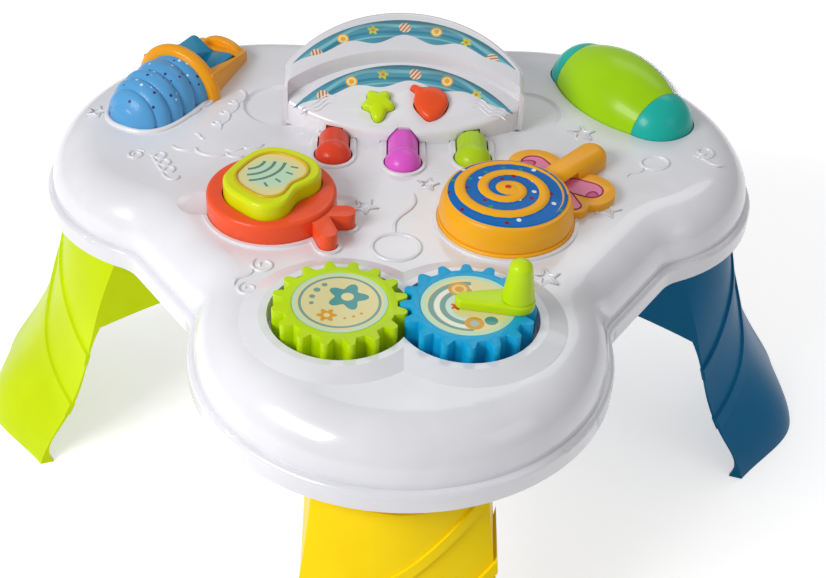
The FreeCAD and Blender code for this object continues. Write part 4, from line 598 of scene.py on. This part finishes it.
def domed(node_name, body, outline, side, behind, material):
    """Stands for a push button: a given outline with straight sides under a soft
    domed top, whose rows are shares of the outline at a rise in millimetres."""
    dome = ((1.0, -8.0), (1.0, 1.4), (0.99, 2.2), (0.96, 2.9), (0.90, 3.6), (0.80, 4.2),
            (0.66, 4.7), (0.48, 5.0), (0.26, 5.2), (0.08, 5.25))
    middle = on_slope(lower_face, side, behind)
    rows = []
    for share, rise in dome:
        rows.append([middle + Vector((u * share / 1000, 0.0, 0.0)) + face_back * (v * share / 1000)
                     + face_up * (rise / 1000) for u, v in outline])
    skin(node_name + "_domed", rows, True, body, material, replaced=node_name)


domed("star_button", "star_body", star_outline(), -16.0, 112.65,
      moulded("lime_button_plastic", paint(196, 226, 0)))
domed("balloon_button", "balloon_body", balloon_outline(), 17.0, 114.65,
      moulded("red_button_plastic", paint(240, 84, 34)))


# Two gears turn in the basin at the front. They mesh, so one drives the
# other, and each carries a printed disc under a clear lacquer.
gear_lime = moulded("lime_gear_plastic", paint(192, 226, 0))
gear_blue = moulded("blue_gear_plastic", paint(10, 168, 220))
rounded("gear_green", "gear_green_body", 0.0008, gear_lime)
rounded("gear_blue", "gear_blue_body", 0.0008, gear_blue)
gear_aside, gear_front = 34.2, 83.35
label_cream = paint(228, 218, 156)
print_grey_teal = paint(110, 158, 150)
print_teal = paint(70, 150, 150)
print_orange = paint(216, 156, 20)
print_mint = paint(190, 222, 190)


def spot_mask(across, along, x, y, radius):
    """Filled disc at a place, in millimetres."""
    return (across - x).reach(along - y) < radius


def blossom_mask(across, along, x, y, radius, petals):
    """Filled blossom at a place, in millimetres."""
    u, v = across - x, along - y
    return u.reach(v) < (v.heading(u) * petals).cosine() * (radius * 0.2) + radius * 0.8


def blossom_label(finish, shade, x, y, z, spot):
    """A ring near the edge, a large teal blossom, a small orange one and a few dots."""
    across, along = x * 1000 + gear_aside, y * 1000 + gear_front
    out = across.reach(along)
    shade = finish.blend(out > 23.6, shade, print_mint)
    shade = finish.blend(abs(out - 21.4) < 0.75, shade, print_grey_teal)
    shade = finish.blend(blossom_mask(across, along, 4.0, 4.5, 11.5, 5), shade, print_teal)
    shade = finish.blend(spot_mask(across, along, 4.0, 4.5, 3.4), shade, label_cream)
    shade = finish.blend(blossom_mask(across, along, -6.5, -11.5, 5.6, 6), shade, print_orange)
    shade = finish.blend(spot_mask(across, along, -6.5, -11.5, 1.7), shade, label_cream)
    for dx, dy, radius in ((-12.5, 10.0, 1.9), (-14.8, 4.2, 1.6), (-15.0, -1.4, 1.3), (-8.6, 14.6, 1.6)):
        shade = finish.blend(spot_mask(across, along, dx, dy, radius), shade, print_grey_teal)
    for dx, dy in ((3.0, -13.8), (7.6, -12.2), (11.6, -9.6)):
        shade = finish.blend(spot_mask(across, along, dx, dy, 0.9), shade, print_orange)
    return shade


def rainbow_label(finish, shade, x, y, z, spot):
    """Mint edge, arcs like a small rainbow on one side, an orange ring and a few beads."""
    across, along = x * 1000 - gear_aside, y * 1000 + gear_front
    out = across.reach(along)
    shade = finish.blend(out > 22.6, shade, print_mint)
    arc = across.reach(along + 1.5)
    left = (across < 2.0) * (out < 22.0)
    for radius, width, tint in ((20.2, 1.5, print_grey_teal), (17.0, 1.3, paint(236, 236, 226)),
                                (13.9, 1.5, print_grey_teal), (10.9, 1.2, paint(200, 226, 226))):
        shade = finish.blend((abs(arc - radius) < width) * left, shade, tint)
    shade = finish.blend(spot_mask(across, along, -4.5, 13.5, 6.0), shade, print_orange)
    shade = finish.blend(abs((across + 4.5).reach(along - 13.5) - 3.3) < 0.9, shade, paint(244, 206, 110))
    shade = finish.blend(blossom_mask(across, along, -6.5, -1.5, 3.4, 5), shade, paint(206, 84, 40))
    shade = finish.blend(spot_mask(across, along, 2.5, -15.5, 5.2), shade, print_orange)
    shade = finish.blend(spot_mask(across, along, 11.5, -13.0, 3.6), shade, print_teal)
    shade = finish.blend(spot_mask(across, along, 2.5, -15.5, 2.4), shade, paint(160, 190, 190))
    return shade


dress("label_green", moulded("blossom_label_print", label_cream, 0.3, 0.02, 0.4, blossom_label))
dress("label_blue", moulded("rainbow_label_print", label_cream, 0.3, 0.02, 0.4, rainbow_label))
rounded("crank_arm", "gear_blue_body", 0.001, gear_lime)
dress("crank_knob", gear_lime)


# The apple is a red tray round a lime push button with a printed face.
rounded("apple_base", "table_body", 0.0018, moulded("apple_red_plastic", paint(242, 84, 40)))
dress("apple_button", moulded("apple_lime_plastic", paint(214, 226, 0)))


def apple_print(finish, shade, x, y, z, spot):
    """Mint field with nested arcs spreading from one side and short dashes beyond them."""
    apple_x, apple_y = -77.0, 17.6
    across, along = x * 1000 - apple_x, y * 1000 - apple_y
    shade = finish.blend(across.reach(along).ramp(9.0, 19.0), print_mint, shade)
    u, v = across + 15.0, along - 15.5
    arc, turn = u.reach(v), v.heading(u)
    dark = paint(98, 138, 116)
    for radius, start, stop in ((10.5, -1.45, -0.15), (16.5, -1.5, -0.1), (22.5, -1.45, -0.12)):
        shade = finish.blend((abs(arc - radius) < 1.0) * (turn > start) * (turn < stop), shade, dark)
    for where in (-1.12, -0.84, -0.5, -0.26):
        off = (turn - where) * arc
        shade = finish.blend((abs(off) < 0.75) * (abs(arc - 29.0) < 2.3), shade, dark)
    return shade


dress("apple_label", moulded("apple_label_print", paint(232, 218, 146), 0.3, 0.02, 0.4, apple_print))
# The ochre line round the label is painted shade: it stands for the shade in the groove between the lime
# rim and the sunk label.
raised_lines("apple_label_edge", "apple_body",
             moulded("groove_shade_line", paint(214, 178, 20), roughness=0.35),
             top_edges("apple_label", inset=-0.0004), width=0.0011)


# The lollipop is an orange drum that spins on its base, with a blue inlay
# between the turns of a raised spiral, a stick and a bow.
candy_orange = moulded("candy_orange_plastic", paint(248, 174, 24))
rounded("lollipop_base", "table_body", 0.0015, candy_orange)
rounded("lollipop_drum", "lollipop_body", 0.0009, candy_orange)
lolly_x, lolly_y, lolly_level = 0.060, 0.01265, 0.2108
lolly_pitch, lolly_first, lolly_turn = 13.5, 31.5, math.radians(80)
lolly_reach, ridge_end, ridge_fade, ridge_half = 36.2, 33.0, 2.0, 3.3
boss_reach, edge_wide = 8.5, 1.4
dome_rise, ridge_rise, edge_drop, skirt_drop = 3.0, 1.5, 1.2, 1.4


def turn_gap(out, angle):
    """How far, in millimetres, a place lies from the middle line of the nearest orange turn."""
    turns = (out - lolly_first) / lolly_pitch + (angle - lolly_turn) / math.tau
    return abs(turns - math.floor(turns + 0.5)) * lolly_pitch


def lollipop_top(material):
    """Low dome over the drum with the soft spiral ridge and the boss raised on it."""
    form = bmesh.new()
    around, across = 180, 60
    rows = []
    for k in range(1, across + 1):
        out = lolly_reach * k / across
        row = []
        for n in range(around):
            angle = math.tau * n / around
            gap = turn_gap(out, angle)
            ridge = max(0.0, 1.0 - (gap / ridge_half) ** 2) ** 0.5
            ridge *= min(1.0, max(0.0, ridge_end - out) / ridge_fade)
            boss = max(0.0, 1.0 - (out / boss_reach) ** 2) ** 0.5
            edge = max(0.0, 1.0 - ((lolly_reach - out) / edge_wide) ** 2)
            crown = dome_rise * (1 - (out / lolly_reach) ** 2)
            rise = crown + ridge_rise * max(ridge, boss) - edge_drop * edge
            row.append(form.verts.new((lolly_x + out / 1000 * math.cos(angle),
                                       lolly_y + out / 1000 * math.sin(angle),
                                       lolly_level + rise / 1000)))
        rows.append(row)
    tip = form.verts.new((lolly_x, lolly_y, lolly_level + (dome_rise + ridge_rise) / 1000))
    for low, high in zip(rows, rows[1:]):
        for a, b, c, d in zip(low, low[1:] + low[:1], high[1:] + high[:1], high):
            form.faces.new((a, b, c, d))
    for a, b in zip(rows[0], rows[0][1:] + rows[0][:1]):
        form.faces.new((a, b, tip))
    under = [form.verts.new((spot.co.x, spot.co.y, lolly_level - skirt_drop / 1000)) for spot in rows[-1]]
    for a, b, c, d in zip(rows[-1], rows[-1][1:] + rows[-1][:1], under[1:] + under[:1], under):
        form.faces.new((a, b, c, d))
    form.faces.new(under)
    bmesh.ops.recalc_face_normals(form, faces=form.faces)
    mesh = bpy.data.meshes.new("lollipop_candy")
    form.to_mesh(mesh)
    form.free()
    mesh.shade_smooth()
    mesh.materials.append(material)
    put_down("lollipop_candy", mesh, "lollipop_body", replaced="lollipop_inlay")


def sprinkles(finish, shade, spot, scale, radius, tints, share=1.0, flat=False):
    """Small round dots strewn over a print, each in one of a few colours."""
    settings = {"feature": "F1", "voronoi_dimensions": "2D" if flat else "3D"}
    near = finish.add("ShaderNodeTexVoronoi", settings, "Distance", Vector=spot, Scale=scale,
                      Randomness=0.75)
    dice = finish.add("ShaderNodeSeparateXYZ", Vector=Tone(finish, near.socket.node.outputs["Color"]))
    pick, chance = [Tone(finish, output) for output in dice.socket.node.outputs[:2]]
    mask = (near < radius * scale) * (chance < share)
    for k, tint in enumerate(tints):
        low, high = k / len(tints), (k + 1) / len(tints)
        shade = finish.blend(mask * (pick > low) * (pick < high), shade, paint(*tint))
    return shade


def lollipop_print(finish, shade, x, y, z, spot):
    """Blue with dark red, white and green sprinkles between the turns of an orange ridge."""
    tints = ((126, 24, 60), (226, 236, 240), (126, 24, 60), (40, 150, 110))
    strewn = sprinkles(finish, shade, spot, 96.0, 0.0014, tints, share=0.85, flat=True)
    across, along = (x - lolly_x) * 1000, (y - lolly_y) * 1000
    out, angle = across.reach(along), along.heading(across)
    turns = (out - lolly_first) / lolly_pitch + (angle - lolly_turn) / math.tau
    ridge = (abs(turns - (turns + 0.5).whole()) < 3.1 / lolly_pitch) * (out < 32.8)
    orange = ridge.at_least(out < 7.2).at_least(out > 35.0)
    shade = finish.blend(orange, strewn, paint(248, 176, 26))
    return finish.blend(out < 1.9, shade, paint(206, 50, 20))


lollipop_top(moulded("lollipop_print", paint(0, 104, 184), 0.3, 0.03, 0.06, lollipop_print,
                     sheen=0.1))


def bow_print(finish, shade, x, y, z, spot):
    """Pink field with a deeper drop and line in the middle of each wing."""
    for cx, cy, lean in ((75.6, 66.2, 0.35), (112.4, 31.4, -1.9)):
        across, along = x * 1000 - cx, y * 1000 - cy
        u = across * math.cos(lean) + along * math.sin(lean)
        v = along * math.cos(lean) - across * math.sin(lean)
        out = (u * 0.62).reach(v)
        shade = finish.blend(abs(out - 3.5) < 0.5, shade, paint(150, 26, 80))
        shade = finish.blend(out < 3.0, shade, paint(214, 84, 140))
    return shade


dress("bow_inlays", moulded("bow_pink_print", paint(236, 132, 172), 0.3, 0.02, 0.4, bow_print))
raised_lines("bow_outline", "table_body",
             moulded("bow_dark_line", paint(160, 30, 84), roughness=0.35),
             top_edges("bow_inlays", inset=0.0004), width=0.00045)


# The roller is a lime half barrel and a clear half, closed by two teal caps,
# with loose beads inside that rattle as it turns.
dress("roller_shell", moulded("lime_roller_plastic", paint(164, 216, 0)))
dress("roller_caps", moulded("teal_cap_plastic", paint(24, 182, 168)))
dress("roller_beads", moulded("bead_plastic", paint(236, 90, 60)))
clear = Finish("clear_window_plastic", 0.05, Transmission_Weight=0.92, IOR=1.46)
haze = clear.speckle(clear.place()[-1], 120.0)
clear.feed(Base_Color=clear.blend(haze, (0.90, 0.95, 0.96), (0.97, 0.99, 1.0)),
           Roughness=0.03 + haze * 0.05)
dress("roller_window", clear.material)


# The ice cream is a blue swirl fixed on the deck, with an orange ring and
# cone, and a teal rocker that tips in the cone on a steel pin.
swirl_crown = 0.2045


def swirl_print(finish, shade, x, y, z, spot):
    """White and dark violet sprinkles strewn over the crown of the swirl."""
    tints = ((206, 232, 246), (60, 50, 120))
    strewn = sprinkles(finish, shade, spot, 200.0, 0.00105, tints, share=0.7)
    return finish.blend(z > swirl_crown, shade, strewn)


cone_turn = math.radians(61.8)
cone_along = Vector((math.cos(cone_turn), math.sin(cone_turn), 0.0))
cone_aside = Vector((-math.sin(cone_turn), math.cos(cone_turn), 0.0))
cone_foot = Vector((-0.147, 0.15465, deck_level))


def in_cone(along, aside, level):
    """Place in the cone's own directions, in millimetres, as a place in metres."""
    return (cone_foot + cone_along * (along / 1000) + cone_aside * (aside / 1000)
            + Vector((0, 0, level / 1000)))


swirl_start, swirl_long, swirl_wide, fold_deep = 4.0, 55.5, 22.8, 3.0


def swirl_reach(share, side):
    """Radius of the swirl, in millimetres, at a share of its length and a share of the way
    over it."""
    phase = 0.3 + 3.0 * share + 1.7 * share * share + 0.85 * (1 - side)
    fold = math.sin(math.pi * (phase % 1.0)) ** 0.55
    return swirl_wide * (1 - share ** 4.6) ** 0.5 + fold_deep * fold * (1 - share ** 7)


swirl_rows = []
for k in range(161):
    share = k / 160 * 0.997
    row = []
    for n in range(49):
        out, over = swirl_reach(share, n / 48), math.pi * n / 48
        row.append(in_cone(-(swirl_start + swirl_long * share), out * math.cos(over), out * math.sin(over)))
    swirl_rows.append(row)
swirl_blue = moulded("swirl_blue_plastic", paint(84, 158, 212), 0.3, 0.05, 0.1, swirl_print)
skin("ice_cream_folds", swirl_rows, False, "table_body", swirl_blue, replaced="ice_cream_swirl")
collar_long, collar_wide, collar_gap = 57.0, 24.6, 1.3
collar = []
for side in (1, -1):
    for k in range(15):
        share = (k / 14 if side == 1 else 1 - k / 14) * 0.985
        out = collar_wide * (1 - share ** 4.6) ** 0.5 + collar_gap
        collar.append(in_cone(-(swirl_start + collar_long * share), side * out, 0.2))
raised_lines("swirl_collar", "table_body", shell_white, [(collar, False, False)], width=0.0019)

cone_orange = moulded("cone_orange_plastic", paint(246, 164, 20))
ring_along, ring_reach, ring_half_long, ring_half_thick, ring_sunk = 0.6, 26.6, 4.9, 4.4, 0.5
ring_rows = []
for k in range(33):
    lean = math.pi * k / 32
    row = []
    for n in range(16):
        out = ring_reach + ring_half_thick * math.sin(math.tau * n / 16)
        row.append(in_cone(ring_along + ring_half_long * math.cos(math.tau * n / 16),
                           out * math.cos(lean), out * math.sin(lean) - ring_sunk))
    ring_rows.append(row)
skin("cone_ring", ring_rows, True, "table_body", cone_orange, slot="orange")
rounded("cone_frame", "table_body", 0.0014, cone_orange)
arch_half, arch_high, arch_foot = 18.2, 13.0, 0.5
end_rows = []
for along, inset in ((48.0, 1.2), (48.4, 0.3), (49.2, 0.0), (52.6, 0.0), (53.4, 0.3), (53.8, 1.2)):
    end_rows.append([in_cone(along, (arch_half - inset) * math.cos(math.pi * k / 24),
                             arch_foot + (arch_high - inset) * math.sin(math.pi * k / 24))
                     for k in range(25)])
skin("cone_end_arch", end_rows, False, "table_body", cone_orange, slot="orange")


plate_start, plate_end, plate_wide, plate_corner = 7.3, 39.3, 18.2, 4.0
plate_middle, plate_half, crease_level = 23.3, 16.0, 6.1


def plate_outline(bulge):
    """Plate with two rounded outer corners, its far end bowed out."""
    run = [(plate_start, 0.0)]
    turn_across = plate_wide - plate_corner
    for turn_along, start in ((plate_start + plate_corner, 180), (plate_end - plate_corner, 90)):
        for k in range(7):
            angle = math.radians(start - 15 * k)
            run.append((turn_along + plate_corner * math.cos(angle),
                        turn_across + plate_corner * math.sin(angle)))
    for k in range(1, 7):
        run.append((plate_end, turn_across * (1 - k / 6)))
    return [(u + bulge * math.sin(math.pi * w / plate_wide) * (u > plate_middle), w) for u, w in run]


def rocker_plate(name, angle, side, bulge, replaced, slot):
    """One half of the rocker, a rounded plate that leans up from the crease."""
    lean = math.radians(angle)
    rows = []
    for inset, level in ((1.1, 0.0), (0.3, 0.3), (0.0, 1.1), (0.0, 2.0), (0.3, 2.8), (1.1, 3.1)):
        row = []
        for u, w in plate_outline(bulge):
            along = plate_middle + (u - plate_middle) * (1 - inset / plate_half)
            across = w * (1 - inset / plate_wide)
            row.append(in_cone(along, side * (across * math.cos(lean) - level * math.sin(lean)),
                               crease_level + across * math.sin(lean) + level * math.cos(lean)))
        rows.append(row)
    skin(name, rows, True, "rocker_body", rocker_teal, replaced, slot)


rocker_teal = moulded("rocker_teal_plastic", paint(16, 140, 182))
rocker_plate("rocker_raised_half", 34, 1, 0.0, "rocker", None)
rocker_plate("rocker_low_half", 10, -1, 0.4, None, "teal")


# The table stands on a plain pale floor in a white room. The floor shows as
# near white to the eye and keeps the soft shadow of the table.
floor_mesh = bpy.data.meshes.new("floor")
reach = 4.0
corners = [(-reach, -reach, 0), (reach, -reach, 0), (reach, reach, 0), (-reach, reach, 0)]
floor_mesh.from_pydata(corners, [], [(0, 1, 2, 3)])
floor = bpy.data.objects.new("floor", floor_mesh)
bpy.context.scene.collection.objects.link(floor)
ground = Finish("pale_floor", 0.9, Specular_IOR_Level=0.1)
grain = ground.speckle(ground.place()[-1], 2.0)
ground.feed(Base_Color=ground.blend(grain, (0.86, 0.86, 0.87), (0.89, 0.89, 0.90)))
seen = ground.add("ShaderNodeLightPath", out="Is Camera Ray")
glossy = ground.add("ShaderNodeLightPath", out="Is Glossy Ray")
through = ground.add("ShaderNodeLightPath", out="Is Transmission Ray")
glow = ground.blend(seen.at_least(glossy).at_least(through), (0.0, 0.0, 0.0), (0.5, 0.5, 0.5))
ground.feed(Emission_Color=glow)
ground.shader.inputs["Emission Strength"].default_value = 1.0
floor_mesh.materials.append(ground.material)

world = bpy.data.worlds.new("white_room")
bpy.context.scene.world = world
world.use_nodes = True
sky = world.node_tree.nodes["Background"]
sky.inputs["Color"].default_value = (1.0, 1.0, 1.0, 1.0)
sky.inputs["Strength"].default_value = 0.4


def lamp(name, place, aim, width, depth, power):
    """Soft box: a rectangle of light turned towards a point on the table."""
    light = bpy.data.lights.new(name, "AREA")
    light.shape = "RECTANGLE"
    light.size = width
    light.size_y = depth
    light.energy = power
    holder = bpy.data.objects.new(name, light)
    holder.location = place
    holder.rotation_euler = (Vector(aim) - Vector(place)).to_track_quat("-Z", "Y").to_euler()
    bpy.context.scene.collection.objects.link(holder)


lamp("soft_box_left", (-0.92, -0.68, 0.95), (-0.02, -0.05, 0.15), 0.7, 0.5, 12.5)
lamp("soft_box_back", (0.4, 1.0, 1.2), (0.0, 0.0, 0.15), 1.0, 0.5, 2.4)
lamp("soft_box_right", (1.1, -0.7, 0.9), (0.0, 0.0, 0.12), 0.6, 0.6, 0.9)

# The camera looks down on the table from the front, a little to the left.
place = (-0.01838, -0.70918, 0.69430)
yaw, pitch, roll = 0.036175, 0.655533, 0.046768
photo_wide, focal_length = 826.0, 1500.0
ahead = Vector((math.sin(yaw) * math.cos(pitch), math.cos(yaw) * math.cos(pitch), -math.sin(pitch)))
level_right = Vector((math.cos(yaw), -math.sin(yaw), 0.0))
level_up = level_right.cross(ahead)
right = level_right * math.cos(roll) + level_up * math.sin(roll)
up = level_up * math.cos(roll) - level_right * math.sin(roll)
camera_data = bpy.data.cameras.new("camera")
camera_data.sensor_width = 36.0
camera_data.lens = focal_length * camera_data.sensor_width / photo_wide
camera_data.clip_start = 0.01
camera = bpy.data.objects.new("camera", camera_data)
camera.matrix_world = Matrix((
    (right.x, up.x, -ahead.x, place[0]),
    (right.y, up.y, -ahead.y, place[1]),
    (right.z, up.z, -ahead.z, place[2]),
    (0.0, 0.0, 0.0, 1.0)))
bpy.context.scene.collection.objects.link(camera)
bpy.context.scene.camera = camera
bpy.context.scene.view_settings.view_transform = "Standard"
